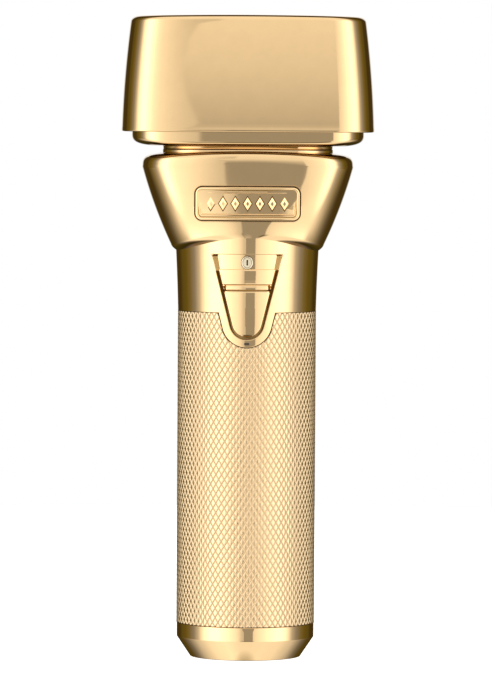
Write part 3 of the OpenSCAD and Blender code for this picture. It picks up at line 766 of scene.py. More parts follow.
def seam(name, rows):
    """A thin dark line between two rows, painted shadow along a seam."""
    part = Build()
    part.grid(rows, closed=False)
    return part.piece(name, "dark_mark_and_painted_gap_shadow", "polished_gold", sharp=0)


# Painted shadow along the tongue's edge, the collar's foot and the end cap's seam.
seam("tongue_seam", [on_turned(tongue_line(g), SEAM_R) for g in (0.16, -0.1)])
seam_start = math.asin(6.9 / GRIP_R)
open_theta = np.linspace(seam_start, 2 * math.pi - seam_start, 300)
seam("collar_seam", [turned(SEAM_R, open_theta, z) for z in (COLLAR_LOW - 0.2, COLLAR_LOW - 0.02)])
seam("cap_seam", [np.column_stack([circle(SEAM_R, 301), np.full(301, z)]) for z in (8.42, 8.55)])


# ---------------------------------------------------------------- end cap

def rounded_profile(points, radius, n=5):
    """Rounds the inner corners of an open profile."""
    out = [points[0]]
    for p, q, r in zip(points, points[1:], points[2:]):
        p, q, r = map(np.array, (p, q, r))
        a, b = (p - q) / np.linalg.norm(p - q), (r - q) / np.linalg.norm(r - q)
        half = math.acos(max(-1, min(1, float(a @ b)))) / 2
        back = min(radius / math.tan(half), 0.45 * np.linalg.norm(p - q), 0.45 * np.linalg.norm(r - q))
        s, e = q + a * back, q + b * back
        for k in range(n + 1):
            t = k / n
            out.append(tuple((1 - t) ** 2 * s + 2 * t * (1 - t) * q + t * t * e))
    out.append(points[-1])
    return out


cap_profile = rounded_profile([(3.9, 3.6), (3.9, 0.0), (13.55, 0.0), (16.9, 4.95), (16.93, 8.35), (16.6, 8.4),
                               (15.3, 8.4), (15.3, 11.4), (13.5, 11.4)], 0.3)
end_cap = Build()
end_cap.grid([np.column_stack([circle(max(r, 1e-4)), np.full(COLS, z)]) for r, z in cap_profile])
end_cap.piece("end_cap_shell", "polished_gold", "polished_gold", nodes=("end_cap",), sharp=50)

mark = Build()
chamfer_rise, chamfer_run = 5.1, 3.4
slope = math.atan2(chamfer_rise, chamfer_run)


def on_chamfer(x, up, lift):
    """A point on the front of the end cap's chamfer, up along it from its middle."""
    z = 2.55 + up * math.sin(slope)
    r = 13.5 + z * chamfer_run / chamfer_rise
    y = -math.sqrt(r * r - x * x)
    n = np.array([x / r * math.sin(slope), y / r * math.sin(slope), -math.cos(slope)])
    return np.array([x, y, z]) + n * lift


def bar(build, p, q, half, lift, n=12):
    """A low ridge with sloping sides between two chamfer places."""
    p, q = np.array(p, float), np.array(q, float)
    d = (q - p) / np.linalg.norm(q - p)
    side = np.array([-d[1], d[0]])
    rows = []
    for off, h in ((-half, -0.05), (-half * 0.6, lift), (half * 0.6, lift), (half, -0.05)):
        rows.append([on_chamfer(*(p + (q - p) * t + side * off), h) for t in np.linspace(0, 1, n)])
    build.grid(rows, closed=False)


bar(mark, (-1.7, 1.45), (1.7, 1.45), 0.13, 0.03)
mark.piece("end_mark_line", "dark_mark_and_painted_gap_shadow", "polished_gold")
mark_v = Build()
bar(mark_v, (-1.5, 1.25), (0.0, -1.3), 0.1, 0.05)
bar(mark_v, (1.5, 1.25), (0.0, -1.3), 0.1, 0.05)
mark_v.piece("end_mark_sides", "badge_gold", "polished_gold")


# ---------------------------------------------------------------- switch

def button_profile():
    """Height and radius of the button's face, top to bottom."""
    top = [(BUTTON_TOP, 15.9), (95.98, 16.15), (95.92, 16.27), (95.8, 16.34), (95.6, 16.37), (94.5, 16.38),
           (93.3, 16.4), (92.6, 16.42), (92.35, 16.5)]
    ridge = [(92.24, 16.66), (92.2, 17.0), (92.18, 17.5), (92.1, 17.75), (91.95, 17.85), (91.5, 17.9),
             (91.1, 17.88), (90.92, 17.8), (90.8, 17.6), (90.76, 17.2), (90.72, 16.95), (90.6, 16.82)]
    face = [(90.3, 16.74), (89.5, 16.72), (88, 16.71), (86.5, 16.7), (85, 16.7), (83.5, 16.7), (82, 16.7)]
    foot = [(81, 16.69), (80.05, 16.66), (79.7, 16.58), (79.51, 16.42), (79.43, 16.2), (79.4, 16.0)]
    return top + ridge + face + foot


def button_half(z):
    """Half width of the button at a height."""
    r = RECESS_R - 0.6
    tangent = VEE_Z - r * math.sin(VEE_ANGLE)
    if z >= tangent:
        return r * math.cos(VEE_ANGLE) + (z - tangent) * math.tan(VEE_ANGLE)
    return math.sqrt(max(r * r - (VEE_Z - z) ** 2, 0.0004))


def dense_profile(profile, step=0.35):
    """The profile with long stretches divided."""
    dense = []
    for (z0, r0), (z1, r1) in zip(profile, profile[1:]):
        n = 1 if abs(z0 - z1) < step else int(abs(z0 - z1) / step) + 1
        dense += [(z0 + (z1 - z0) * (k / n), r0 + (r1 - r0) * (k / n)) for k in range(n)]
    return dense + [profile[-1]]


def button_row(z, r):
    """Points across the button's face at height z, with rounded sides that run into the recess."""
    w = button_half(z)
    edge = min(0.28, 0.5 * w)
    flat_w = w - edge
    ridge = max(0.0, min(1.0, (r - 16.8) / 0.5))
    ridge_end = 5.5 + 0.05 * ridge - 0.5
    turns = [math.pi / 2 * k / ROUND_STEPS for k in range(1, ROUND_STEPS + 1)]
    row = [(-flat_w - edge * math.sin(t), edge * (1 - math.cos(t))) for t in turns[::-1]]
    row += [(x, 0.0) for x in np.linspace(-1, 1, 49) * flat_w]
    row += [(flat_w + edge * math.sin(t), edge * (1 - math.cos(t))) for t in turns]
    pts = []
    for x, drop in row:
        rr = r - drop
        if ridge > 0:
            over = max(0.0, abs(x) - ridge_end)
            rr = rr - (r - 16.45) * min(1.0, over / 0.5) ** 2
        pts.append((x, -math.sqrt(max(rr * rr - x * x, 0)), z))
    ends = [(x, -math.sqrt(max(16.0 ** 2 - x * x, 0)), z) for x in (row[0][0], row[-1][0])]
    return [ends[0]] + pts + [ends[1]]


button = Build()
b_rows = [button_row(z, r) for z, r in dense_profile(button_profile())]
row_z = np.array([row[25][2] for row in b_rows])
# The ridge's top line and its lower curve are painted shade.
ridge_lines = Build()
for k in range(len(b_rows) - 1):
    z = (row_z[k] + row_z[k + 1]) / 2
    part = ridge_lines if 92.16 < z < 92.42 or 90.45 < z < 91.12 else button
    part.grid(b_rows[k:k + 2], closed=False, flip=True)
ridge_lines.piece("switch_ridge_lines", "painted_shade_gold", "polished_gold", "switch", sharp=40)
button.piece("switch_slider", "polished_gold", "polished_gold", "switch", ("switch_button",), sharp=40)


def loop_prism(name, loops, mat, slot, surface, nodes=()):
    """Lofts closed front-view loops, each with its own lift above a surface, and closes the last one."""
    part = Build()
    rows = [surface(loop, lift) for loop, lift in loops]
    part.grid(rows)
    start = part.add(rows[-1])
    part.fan(start, len(rows[-1]), tuple(np.mean(rows[-1], axis=0)))
    return part.piece(name, mat, slot, nodes=nodes, sharp=40)


def oval(a, b, cx, cz, n=64):
    """An ellipse loop in front view."""
    t = np.arange(n) * 2 * math.pi / n
    return np.stack([cx + a * np.cos(t), cz + b * np.sin(t)], 1)


def on_floor(loop, lift):
    """Front-view points on the recess floor."""
    return on_turned(loop, FLOOR_R + lift)


mark_z = 97.6


def floor_ring(name, outer_by, inner_by, lift, mat):
    """Flat-topped oval ring on the recess floor, between two growths of its middle line."""
    part = Build()
    soft = 0.03
    rows = [on_floor(oval(1.3 + g, 1.48 + g, 0, mark_z), h)
            for g, h in ((outer_by, -0.05), (outer_by, lift - soft), (outer_by - soft, lift),
                         (inner_by + soft, lift), (inner_by, lift - soft), (inner_by, -0.05))]
    part.grid(rows)
    return part.piece(name, mat, "polished_gold", sharp=60)


floor_ring("on_off_outline", 0.22, -0.26, 0.035, "dark_mark_and_painted_gap_shadow")
floor_ring("on_off_ring", 0.1, -0.16, 0.075, "satin_mark_and_painted_light_gold")
loop_prism("on_off_disc", [(oval(1.06, 1.24, 0, mark_z), 0.01), (oval(1.04, 1.22, 0, mark_z), 0.05)],
           "satin_mark_and_painted_light_gold", "polished_gold", on_floor)


def slab(cx, cz, hx, hz, r):
    """Rounded rectangle loop, anticlockwise."""
    out = []
    for qx, qz, a0 in ((1, 1, 0), (-1, 1, 90), (-1, -1, 180), (1, -1, 270)):
        for k in range(9):
            t = math.radians(a0 + 90 * k / 8)
            out.append((cx + qx * (hx - r) + r * math.cos(t), cz + qz * (hz - r) + r * math.sin(t)))
    return np.array(out)


loop_prism("on_off_bar", [(slab(0, mark_z, 0.2, 0.72, 0.19), 0.0), (slab(0, mark_z, 0.18, 0.7, 0.17), 0.075)],
           "dark_mark_and_painted_gap_shadow", "polished_gold", on_floor)


def on_tongue(loop, lift):
    """Front-view points on the tongue."""
    return on_turned(loop, lambda z: collar_r(z) + lift)


loop_prism("pilot_lens", [(slab(0, 77.8, 0.7, 0.33, 0.3), -0.3), (slab(0, 77.8, 0.68, 0.31, 0.28), 0.02),
                          (slab(0, 77.8, 0.6, 0.24, 0.2), 0.06)],
           "clear_pipe", "clear_pipe", on_tongue, nodes=("light_pipe",))


# ---------------------------------------------------------------- nameplate

BADGE_R, BADGE_Z, BADGE_W, BADGE_H = 76.0, 112.0, 25.5, 8.1


def on_badge(loop, lift):
    """Front-view points on the nameplate's curved face."""
    loop = np.asarray(loop, float)
    r = BADGE_R + lift
    return np.column_stack([loop[:, 0], (BADGE_R - 17.8) - np.sqrt(r * r - loop[:, 0] ** 2), loop[:, 1]])


def plate(grow):
    """Outline of the nameplate, grown or shrunk, with points along its sides."""
    hx, hz, r = BADGE_W / 2 + grow, BADGE_H / 2 + grow, max(1.7 + grow, 0.35)
    out = []
    for qx, qz, a0 in ((1, 1, 0), (-1, 1, 90), (-1, -1, 180), (1, -1, 270)):
        for k in range(9):
            t = math.radians(a0 + 90 * k / 8)
            out.append((qx * (hx - r) + r * math.cos(t), BADGE_Z + qz * (hz - r) + r * math.sin(t)))
        if qx == qz:
            for f in np.linspace(1, -1, 30)[1:-1]:
                out.append((qx * f * (hx - r), BADGE_Z + qz * hz))
        else:
            for f in np.linspace(1, -1, 8)[1:-1]:
                out.append((qx * hx, BADGE_Z + qz * f * (hz - r)))
    return np.array(out)


# Growth and lift of the border's section, from outside to the field.
bead = [(-0.02, -1.2), (-0.02, 0.0), (-0.02, 0.02), (-0.01, 0.08), (0.0, 0.18), (0.0, 0.3), (-0.03, 0.4),
        (-0.09, 0.49), (-0.18, 0.55), (-0.3, 0.58), (-0.45, 0.58), (-0.56, 0.55), (-0.65, 0.49), (-0.71, 0.4),
        (-0.74, 0.28), (-0.76, 0.18), (-0.8, 0.1), (-0.88, 0.06), (-1.2, 0.05), (-1.26, 0.08), (-1.29, 0.18),
        (-1.36, 0.24), (-1.46, 0.24), (-1.53, 0.18), (-1.56, 0.08), (-1.62, 0.05)]
shell_tree = BVHTree.FromPolygons([Vector(p) for p in body_mesh.points], body_mesh.faces)


def draped(loop, lift):
    """Front-view points laid on the housing, lifted towards the front."""
    out = []
    for x, z in loop:
        hit = shell_tree.ray_cast(Vector((x, -60, z)), Vector((0, 1, 0)))[0]
        out.append((x, hit.y - lift, z))
    return np.array(out)


def strip(name, loops, mat):
    """A band of the nameplate between closed loops."""
    part = Build()
    part.grid(loops)
    return part.piece(name, mat, "badge_gold", sharp=40)


# Painted shadow in the gap round the nameplate.
strip("nameplate_gap", [draped(plate(g), 0.02) for g in (0.3, -0.1)], "dark_mark_and_painted_gap_shadow")
flange = [(0.48, -0.02), (0.47, 0.05), (0.44, 0.08), (0.3, 0.08), (0.27, 0.05), (0.25, -0.02)]
strip("nameplate_flange", [draped(plate(g), h) for g, h in flange], "polished_gold")
badge = Build()
badge.grid([on_badge(plate(g), h) for g, h in bead])
badge.piece("nameplate_border", "polished_gold", "badge_gold", nodes=("badge",), sharp=50)
# The inner line is a low ridge coloured with painted shade.
strip("nameplate_inner_line", [on_badge(plate(g), h) for g, h in ((-0.76, 0.2), (-0.93, 0.08))], "painted_shade_gold")
field = Build()
field_loop = plate(-1.6)
field_in = inner_grid(field_loop, np.arange(-12, 12.1, 0.5), np.arange(109, 115.1, 0.5), 0.2)
f_flat, f_faces = cdt([tuple(p) for p in field_loop], [], field_in)
start = field.add(on_badge(f_flat, 0.07))
field.faces.extend(tuple(start + i for i in f) for f in f_faces)
field.piece("nameplate_field", "badge_gold", "badge_gold", sharp=0)


def diamond(cx, size):
    """Diamond loop of a stud."""
    half_w, half_h = 1.05 * size, 1.7 * size
    return np.array([(cx + half_w, BADGE_Z), (cx, BADGE_Z + half_h), (cx - half_w, BADGE_Z),
                     (cx, BADGE_Z - half_h)])


studs = Build()
# Dark rings round the studs' feet are painted shade.
stud_lines = Build()
for k in range(-3, 4):
    cx = 3.0 * k
    stud_lines.grid([on_badge(diamond(cx, g), 0.09) for g in (1.17, 0.98)])
    loops = [on_badge(diamond(cx, size), lift)
             for size, lift in ((1.0, 0.0), (0.94, 0.2), (0.88, 0.28), (0.42, 0.5), (0.34, 0.52))]
    studs.grid(loops)
    top = studs.add(loops[-1])
    studs.faces.append((top, top + 1, top + 2, top + 3))
stud_lines.piece("nameplate_stud_lines", "dark_mark_and_painted_gap_shadow", "badge_gold", sharp=0)
studs.piece("nameplate_studs", "polished_gold", "badge_gold", nodes=("badge_studs",), sharp=10)


# ---------------------------------------------------------------- head base and cap

def bowl():
    """The gold bowl that carries the foil head."""
    part = Build()
    rows = []
    for a, b, z in ((19.9, 12.8, 125.1), (20.75, 13.55, 125.1), (20.85, 13.65, 125.18), (20.9, 13.7, 125.3),
                    (20.92, 13.72, 125.75), (21.0, 13.76, 125.88), (21.3, 13.84, 125.98)):
        rows.append(level(plan(a, b, 300, 0.55, 0.2), z))
    n = 18
    for k in range(n, -1, -1):
        t = math.pi / 2 * k / n
        out, down = max(math.cos(t), 0.0) ** 0.77, math.sin(t) ** 0.77
        a = 22.3 + 6.3 * out
        b = 14.1 + 2.4 * out
        outline = plan(a, b, 350, 0.55 + 0.17 * out, 0.2)
        w = (np.abs(outline[:, 0]) / a) ** 4
        z = (126.95 - 0.9 * down) * (1 - w) + (128.6 - 2.68 * down) * w
        rows.append(np.column_stack([outline, z]))
    last = rows[-1][:, :2]
    rows.append(rows[-1] + [0, 0, 0.06])
    rows.append(rows[-1] + [0, 0, 0.3])
    for z in (129.5, 130.5, 132, 134.4):
        rows.append(np.column_stack([last, np.full(COLS, z)]))
    for inset, z in ((0.1, 134.75), (0.3, 134.95), (0.6, 135.0), (1.4, 135.0), (1.6, 134.8), (1.6, 127.4)):
        rows.append(level(plan(28.6 - inset, 16.5 - inset, 350, 0.72, 0.2), z))
    part.capped(rows, (0, 0, 127.4))
    return part


def neck_ring(name, a, b, low, high, mat, slot, node, soft):
    """A ring of the neck with softened edges."""
    part = Build()
    rows = []
    for inset, z in ((3, low), (soft, low), (0.3 * soft, low + 0.3 * soft), (0, low + soft), (0, high - soft),
                     (0.3 * soft, high - 0.3 * soft), (soft, high), (3, high)):
        rows.append(level(plan(a - inset, b - inset, 300, 0.55, 0.2), z))
    part.grid(rows)
    return part.piece(name, mat, slot, "handle", (node,), sharp=50)


neck_ring("neck_band", 21, 13.8, 124.2, 125.03, "polished_gold", "polished_gold", "neck_collar", 0.08)
neck_ring("neck_seal", 20.85, 13.65, 125.03, 125.1, "black_rubber", "black_rubber", "neck_gasket", 0.03)
bowl().piece("head_base_shell", "polished_gold", "polished_gold", nodes=("head_base",), sharp=45)


def cap_draw(h):
    """How far the cap's wall leans in at a height above its foot."""
    return 0.026 * h + 0.00196 * h * h


def cap():
    """The domed protective cap, with its inside."""
    part = Build()
    low, top, wall = 129.4, 158.0, 1.6
    foot_a = 31.13
    side_h = top - low - 1.6
    reach, side = 0.72, 0.17
    rows = []

    def outline(a, b):
        return plan(a, b, 350, reach, side)

    rows.append(level(outline(foot_a - wall, 19 - wall), low + 0.25))
    for inset, h in ((1.45, 0.06), (1.25, 0.0), (0.3, 0.0), (0.16, 0.03), (0.06, 0.09), (0.0, 0.2),
                     (-0.035, 0.34), (-0.03, 0.55), (-0.018, 0.8), (-0.006, 1.1), (0.0, 1.35)):
        d = cap_draw(h) + inset
        rows.append(level(outline(foot_a - d, 19 - d), low + h))
    for h in np.linspace(1.35, side_h, 34)[1:]:
        d = cap_draw(h)
        rows.append(level(outline(foot_a - d, 19 - d), low + h))
    a, b = foot_a - cap_draw(side_h), 19 - cap_draw(side_h)
    n = 12
    for k in range(1, n + 1):
        t = math.pi / 2 * k / n
        inset, up = 1.3 * (1 - math.cos(t)), 1.55 * math.sin(t)
        rows.append(level(outline(a - inset - 0.15 * up, b - inset - 0.1 * up), low + side_h + up,
                          0.36 * math.sin(t)))
    for inset, crown in ((2.6, 0.34), (4.0, 0.31), (6.0, 0.27), (8.5, 0.22), (11.5, 0.16), (14.2, 0.1)):
        scale = 1 - inset / (b - 1.5)
        rows.append(level(outline(a - inset * 1.35 - 1.6, max(b - inset - 1.6, 1.0)),
                          top - 0.02 + 0.02 * (1 - scale), crown))
    part.capped(rows, (0, 0, top))
    inner_rows = [rows[0]]
    for h in np.linspace(0.3, side_h, 12):
        d = cap_draw(h) + wall
        inner_rows.append(level(outline(foot_a - d, 19 - d), low + h))
    inner_rows.append(level(outline(a - wall - 0.8, b - wall - 0.8), top - wall - 0.3))
    inner_rows.append(level(outline(a - wall - 3, b - wall - 3), top - wall))
    part.capped(inner_rows, (0, 0, top - wall), flip=True)
    return part


cap().piece("cap_shell", "polished_gold", "polished_gold", "cap", ("protective_cap",), sharp=50)


# ---------------------------------------------------------------- foils and springs

def foil(name, node, y_centre, body):
    """Arched foil with a hexagonal pattern of holes."""
    part = Build()
    zc, r, half = 148.4, 5.6, 20.5
    pitch = 0.78
    row_step = pitch * math.sqrt(3) / 2
    arc = math.pi * r
    n_rows = int((arc - 3.0) / row_step)
    n_cols = int((2 * half - 3.0) / pitch)
    s0 = (arc - (n_rows - 1) * row_step) / 2
    x0 = -(n_cols - 1) * pitch / 2

    def at(x, s, lift=0.0):
        """A place along the foil and round its arch."""
        t = s / r
        return (x, y_centre - (r + lift) * math.cos(t), zc + (r + lift) * math.sin(t))

    hexa = [math.radians(60 * k + 30) for k in range(6)]
    outer_r = pitch / math.sqrt(3)
    for j in range(n_rows):
        for i in range(n_cols - (j % 2)):
            cx = x0 + i * pitch + (pitch / 2 if j % 2 else 0)
            cs = s0 + j * row_step
            o, h, d = (part.add([at(cx + outer_r * size * math.cos(a), cs + outer_r * size * math.sin(a), lift)
                                 for a in hexa]) for size, lift in ((1.0, 0.0), (0.62, 0.0), (0.62, -0.08)))
            for k in range(6):
                m = (k + 1) % 6
                part.faces.append((o + k, o + m, h + m, h + k))
                part.faces.append((h + k, h + m, d + m, d + k))
    lo_s, hi_s = s0 - outer_r, s0 + (n_rows - 1) * row_step + outer_r
    x_edge = x0 - pitch / 2
    for s_from, s_to in ((0, lo_s + 0.2), (hi_s - 0.2, arc)):
        part.grid([[at(x, s, -0.01) for x in np.linspace(-half, half, 30)]
                   for s in np.linspace(s_from, s_to, 5)], closed=False)
    for xa, xb in ((-half, x_edge + 0.4), (-x_edge - 0.4, half)):
        part.grid([[at(x, s, -0.01) for x in np.linspace(xa, xb, 4)]
                   for s in np.linspace(0, arc, 33)], closed=False)
    for side in (-1, 1):
        part.grid([[(x, y_centre + side * (r - 0.01), z) for x in (-half, 0, half)] for z in (144, 146, zc)],
                  closed=False)
    return part.piece(name, "foil_gold", "foil_gold", body, (node,), sharp=30)


for end, y in (("front", -5.9), ("rear", 5.9)):
    foil("foil_sheet_" + end, "foil_" + end, y, "foil_block_" + end)


def coil(part, base, axis, length, radius, wire, turns):
    """A compression spring from base along axis."""
    axis = np.array(axis, float)
    u = np.cross(axis, [0.3, 0.5, 0.81])
    u /= np.linalg.norm(u)
    v = np.cross(axis, u)
    n = int(turns * 22)
    rows = []
    for k in range(n + 1):
        f = k / n
        t = 2 * math.pi * turns * f
        rise = length * (wire / length + (1 - 2 * wire / length) * f)
        c = np.array(base) + axis * rise + (radius - wire) * (u * math.cos(t) + v * math.sin(t))
        out = u * math.cos(t) + v * math.sin(t)
        rows.append([c + wire * (out * math.cos(a) + axis * math.sin(a)) for a in np.arange(8) * math.pi / 4])
    part.grid(rows)


def spring_like(name, node, body, wire=0.2, pitch=0.9):
    """Helical springs in the places of the CAD node's separate tubes."""
    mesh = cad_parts[node].data
    co = np.array([v.co for v in mesh.vertices]) / MM
    xs, ys = co[:, 0], co[:, 1]
    groups = []
    left = np.ones(len(co), bool)
    while left.any():
        seed = co[left][0]
        near = left & (np.hypot(xs - seed[0], ys - seed[1]) < 3.2)
        groups.append(co[near])
        left &= ~near
    part = Build()
    for g in groups:
        lo, hi = g.min(0), g.max(0)
        size = hi - lo
        k = int(np.argmax(size))
        axis = [0.0, 0.0, 0.0]
        axis[k] = 1.0
        others = [i for i in range(3) if i != k]
        base = (lo + hi) / 2
        base[k] = lo[k]
        coil(part, base, axis, size[k], min(size[others]) / 2, wire, max(size[k] / pitch, 2))
    return part.piece(name, "spring_steel", "spring_steel", body, (node,), sharp=0)


for end in ("front", "rear"):
    spring_like("foil_coils_" + end, "foil_springs_" + end, "foil_head")
for hand in ("left", "right"):
    spring_like("release_coil_" + hand, "release_spring_" + hand, "release_" + hand, 0.15, 0.8)


# ---------------------------------------------------------------- remaining nodes

SLOT_NODES = {
    "black_rubber": "end_seal motor_damper neck_gasket",
    "moulded_black": (
        "charge_socket chassis_front chassis_rear switch_shuttle motor_endbell motor_bracket "
        "cutter_carrier_front cutter_carrier_rear foil_frame foil_carrier_front foil_carrier_rear "
        "release_button_left release_button_right"),
    "contact_nickel": "socket_pin battery_tabs",
    "screw_steel": "chassis_screws motor_screws head_screws",
    "battery_wrap": "battery",
    "battery_wire": "battery_leads",
    "jack_wire": "jack_leads",
    "motor_wire": "motor_leads",
    "board_laminate": "circuit_board",
    "component_body": "board_components",
    "switch_steel": "slide_switch",
    "led_white": "led",
    "white_acetal": "switch_lever oscillator",
    "motor_steel": "motor_can",
    "magnet_ferrite": "motor_magnets",
    "sintered_bronze": "motor_bushes",
    "shaft_steel": "motor_shaft eccentric_cam guide_rods",
    "winding_copper": "rotor_core",
    "commutator_copper": "commutator",
    "polished_gold": "neck_collar",
    "blade_steel": "cutter_blades_front cutter_blades_rear",
    "spring_steel": "cutter_spring_front cutter_spring_rear",
}
NODE_SLOT = {node: slot for slot, nodes in SLOT_NODES.items() for node in nodes.split()}
for name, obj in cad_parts.items():
    if obj.hide_render:
        continue
    obj.data.materials.clear()
    obj.data.materials.append(MATERIALS[NODE_SLOT[name]])


def refined(node, bevel, body):
    """A copy of a CAD node with soft edges."""
    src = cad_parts[node]
    mesh = src.data.copy()
    mesh.name = node + "_soft"
    obj = bpy.data.objects.new(node + "_soft", mesh)
    bpy.context.scene.collection.objects.link(obj)
    weld = obj.modifiers.new("weld", "WELD")
    weld.merge_threshold = 0.00001
    bev = obj.modifiers.new("bevel", "BEVEL")
    bev.width = bevel * MM
    bev.segments = 3
    bev.limit_method = "ANGLE"
    bev.angle_limit = math.radians(40)
    bev.use_clamp_overlap = True
    mesh.polygons.foreach_set("use_smooth", [True] * len(mesh.polygons))
    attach(obj, body)
    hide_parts(node)
    return obj


for node, bevel, body in (
        ("foil_frame", 0.4, "foil_head"), ("foil_carrier_front", 0.15, "foil_block_front"),
        ("foil_carrier_rear", 0.15, "foil_block_rear"),
        ("release_button_left", 0.3, "release_left"), ("release_button_right", 0.3, "release_right"),
        ("oscillator", 0.15, "drive_yoke"), ("switch_shuttle", 0.15, "switch"),
        ("cutter_carrier_front", 0.15, "cutter_front"), ("cutter_carrier_rear", 0.15, "cutter_rear")):
    refined(node, bevel, body)


# ---------------------------------------------------------------- studio

def studio():
    """Reflection surroundings by azimuth (0 = front, right positive) and elevation, white behind the part."""
    world = bpy.data.worlds.new("studio")
    bpy.context.scene.world = world
    world.use_nodes = True
    t = world.node_tree
    t.nodes.clear()

    def math_node(op, a, b=None, clamp=False):
        n = t.nodes.new("ShaderNodeMath")
        n.operation = op
        n.use_clamp = clamp
        for k, v in enumerate((a, b)):
            if v is None:
                continue
            if isinstance(v, (int, float)):
                n.inputs[k].default_value = v
            else:
                t.links.new(v, n.inputs[k])
        return n.outputs[0]

    def ramp(value, stops):
        n = t.nodes.new("ShaderNodeValToRGB")
        r = n.color_ramp
        r.interpolation = "LINEAR"
        while len(r.elements) > 1:
            r.elements.remove(r.elements[-1])
        for k, (pos, col) in enumerate(stops):
            e = r.elements[0] if k == 0 else r.elements.new(pos)
            e.position = pos
            c = col if isinstance(col, tuple) else (col, col, col)
            e.color = (*c, 1)
        t.links.new(value, n.inputs["Fac"])
        return n.outputs["Color"]

    def mix(fac, a, b):
        n = t.nodes.new("ShaderNodeMix")
        n.data_type = "RGBA"
        t.links.new(fac, n.inputs["Factor"])
        for key, v in (("A", a), ("B", b)):
            sock = [s for s in n.inputs if s.name == key and s.type == "RGBA"][0]
            if isinstance(v, tuple):
                sock.default_value = (*v, 1)
            else:
                t.links.new(v, sock)
        return [o for o in n.outputs if o.type == "RGBA"][0]

    coord = t.nodes.new("ShaderNodeTexCoord")
    xyz = t.nodes.new("ShaderNodeSeparateXYZ")
    t.links.new(coord.outputs["Generated"], xyz.inputs[0])
    back = math_node("MULTIPLY", xyz.outputs["Y"], -1.0)
    az = math_node("ARCTAN2", xyz.outputs["X"], back)
    az01 = math_node("ADD", math_node("MULTIPLY", az, 1 / (2 * math.pi)), 0.5)
    el = math_node("ARCSINE", xyz.outputs["Z"])
    el01 = math_node("ADD", math_node("MULTIPLY", el, 1 / math.pi), 0.5)

    def at(deg):
        """Ramp place of an azimuth in degrees."""
        return deg / 360 + 0.5

    def by_az(*stops):
        """A value or colour that changes with azimuth, in degrees."""
        return ramp(az01, [(at(deg), v) for deg, v in stops])

    def by_el(*stops):
        """A value or colour that changes with elevation, in degrees."""
        return ramp(el01, [(deg / 180 + 0.5, v) for deg, v in stops])

    def both(a, b):
        return math_node("MULTIPLY", a, b)

    # Bright and dark by azimuth, the same at every height.
    brown = ((0.06, 0.04, 0.008), (0.11, 0.09, 0.02), (0.14, 0.11, 0.015), (0.2, 0.17, 0.07))
    left_rear = [(-180, brown[0]), (-144, brown[0]), (-132, brown[1]), (-120, brown[2]), (-108, brown[3])]
    right_rear = [(-deg, v) for deg, v in left_rear[::-1]]
    left = [(-96, 0.29), (-86, 0.62), (-74, 1.5), (-62, 2.15), (-48, 2.2), (-36, 1.8), (-26, 1.5), (-15, 1.26)]
    front = [(-9, 0.97), (-5, 0.74), (0, 0.74), (15, 1.0), (22, 1.22)]
    right = [(32, 1.4), (42, 1.65), (56, 2.0), (66, 1.9), (76, 1.35), (86, 0.55), (96, 0.29)]
    around = by_az(*left_rear, *left, *front, *right, *right_rear)

    # A grey card in front, whose edges lean.
    edge_gain = 700.0
    left_edge = by_el((-3, at(-2.4)), (-1.2, at(-5.0)), (3, at(-4.8)), (7.5, at(-6.8)), (10.5, at(-7.2)),
                      (13.5, at(-6.4)), (16, at(-4.8)), (17.5, at(-3)))
    right_edge = by_el((-2.6, at(13.3)), (-1, at(15.6)), (0.5, at(14.4)))
    right_of_left = math_node("MULTIPLY", math_node("SUBTRACT", az01, left_edge), edge_gain, clamp=True)
    left_of_right = math_node("MULTIPLY", math_node("SUBTRACT", right_edge, az01), edge_gain, clamp=True)
    card_fac = both(both(right_of_left, left_of_right), by_el((-16, 0.0), (-14, 1.0)))
    card_tone = ramp(el01, [(0, 0.37), (0.5, 0.38), (4 / 180 + 0.5, 0.6), (10 / 180 + 0.5, 0.83),
                            (15 / 180 + 0.5, 0.95), (1, 1.05)])
    light = mix(card_fac, around, card_tone)

    # Pale floor below, with a dark band in it at the front and a dark spot under the part.
    side_floor = [(-152, brown[2]), (-137, 0.25), (-116, 0.75)]
    floor_tone = by_az(*side_floor, (-95, 1.15), (-60, 1.3), (-20, 1.08), (20, 1.05), (60, 1.12), (95, 1.05),
                       *[(-deg, v) for deg, v in side_floor[::-1]])
    light = mix(by_el((-44, 1.0), (-11, 0.0)), light, floor_tone)
    dark_band = by_el((-32, 0.0), (-28, 1.0), (-13, 1.0), (-9, 0.0))
    dark_side = by_az((-9, 0.0), (-6, 1.0), (13, 1.0), (16, 0.0))
    light = mix(both(dark_band, dark_side), light, (0.07, 0.05, 0.01))
    light = mix(by_el((-84, 1.0), (-74, 0.0)), light, brown[2])

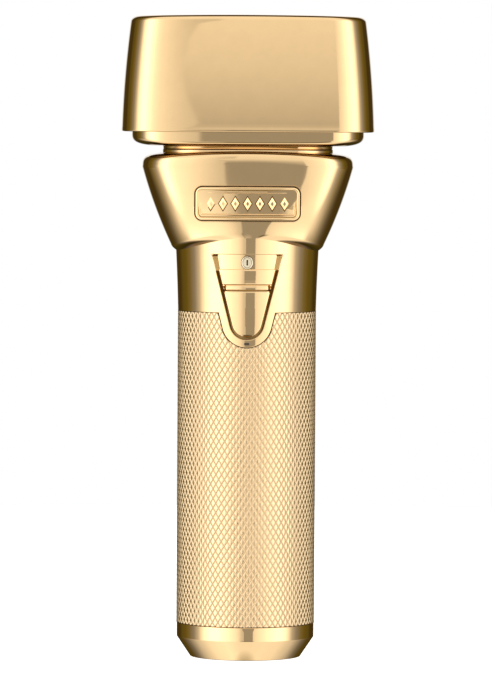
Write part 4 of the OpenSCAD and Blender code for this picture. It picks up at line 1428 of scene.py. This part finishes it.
    # Soft light above the front half, and a window behind.
    sky = both(by_el((30, 0.0), (55, 1.0)), by_az((-115, 0.0), (-80, 1.0), (80, 1.0), (115, 0.0)))
    light = mix(sky, light, (1.05, 1.05, 1.05))
    window = both(by_az((-172, 1.0), (-166, 0.0), (166, 0.0), (172, 1.0)),
                  by_el((-8, 0.0), (-2, 1.0), (35, 1.0), (45, 0.0)))
    light = mix(window, light, (0.9, 0.9, 0.9))

    seen = t.nodes.new("ShaderNodeBackground")
    seen.inputs["Color"].default_value = (1, 1, 1, 1)
    shine = t.nodes.new("ShaderNodeBackground")
    t.links.new(light, shine.inputs["Color"])
    path = t.nodes.new("ShaderNodeLightPath")
    join = t.nodes.new("ShaderNodeMixShader")
    t.links.new(path.outputs["Is Camera Ray"], join.inputs[0])
    t.links.new(shine.outputs[0], join.inputs[1])
    t.links.new(seen.outputs[0], join.inputs[2])
    out = t.nodes.new("ShaderNodeOutputWorld")
    t.links.new(join.outputs[0], out.inputs["Surface"])


studio()


def ground():
    """Plain pale floor, bright enough to merge with the white behind."""
    n, r = 96, 0.5
    ring = [(r * math.cos(2 * math.pi * k / n), r * math.sin(2 * math.pi * k / n), -0.0001) for k in range(n)]
    mesh = bpy.data.meshes.new("floor")
    mesh.from_pydata(ring, [], [tuple(range(n))])
    floor = bpy.data.objects.new("floor", mesh)
    bpy.context.scene.collection.objects.link(floor)
    m, tree, bsdf = new_material("floor_white")
    bsdf.inputs["Base Color"].default_value = (0.85, 0.85, 0.85, 1)
    bsdf.inputs["Roughness"].default_value = 0.9
    bsdf.inputs["Emission Color"].default_value = (1, 1, 1, 1)
    bsdf.inputs["Emission Strength"].default_value = 0.85
    mesh.materials.append(m)
    floor.visible_glossy = False
    floor.visible_shadow = False


ground()

cam_data = bpy.data.cameras.new("camera")
cam = bpy.data.objects.new("camera", cam_data)
bpy.context.scene.collection.objects.link(cam)
cam.location = (-0.0002, -1.4, 0.141)
aim = Vector((-0.0002, 0, 0.0789)) - Vector(cam.location)
cam.rotation_euler = aim.to_track_quat("-Z", "Y").to_euler()
cam.rotation_euler.rotate_axis("Z", math.radians(0.34))
cam_data.lens = 303.97
cam_data.sensor_width = 36
cam_data.sensor_fit = "AUTO"
bpy.context.scene.camera = cam
bpy.context.scene.view_settings.view_transform = "Standard"
bpy.context.scene.view_settings.look = "None"
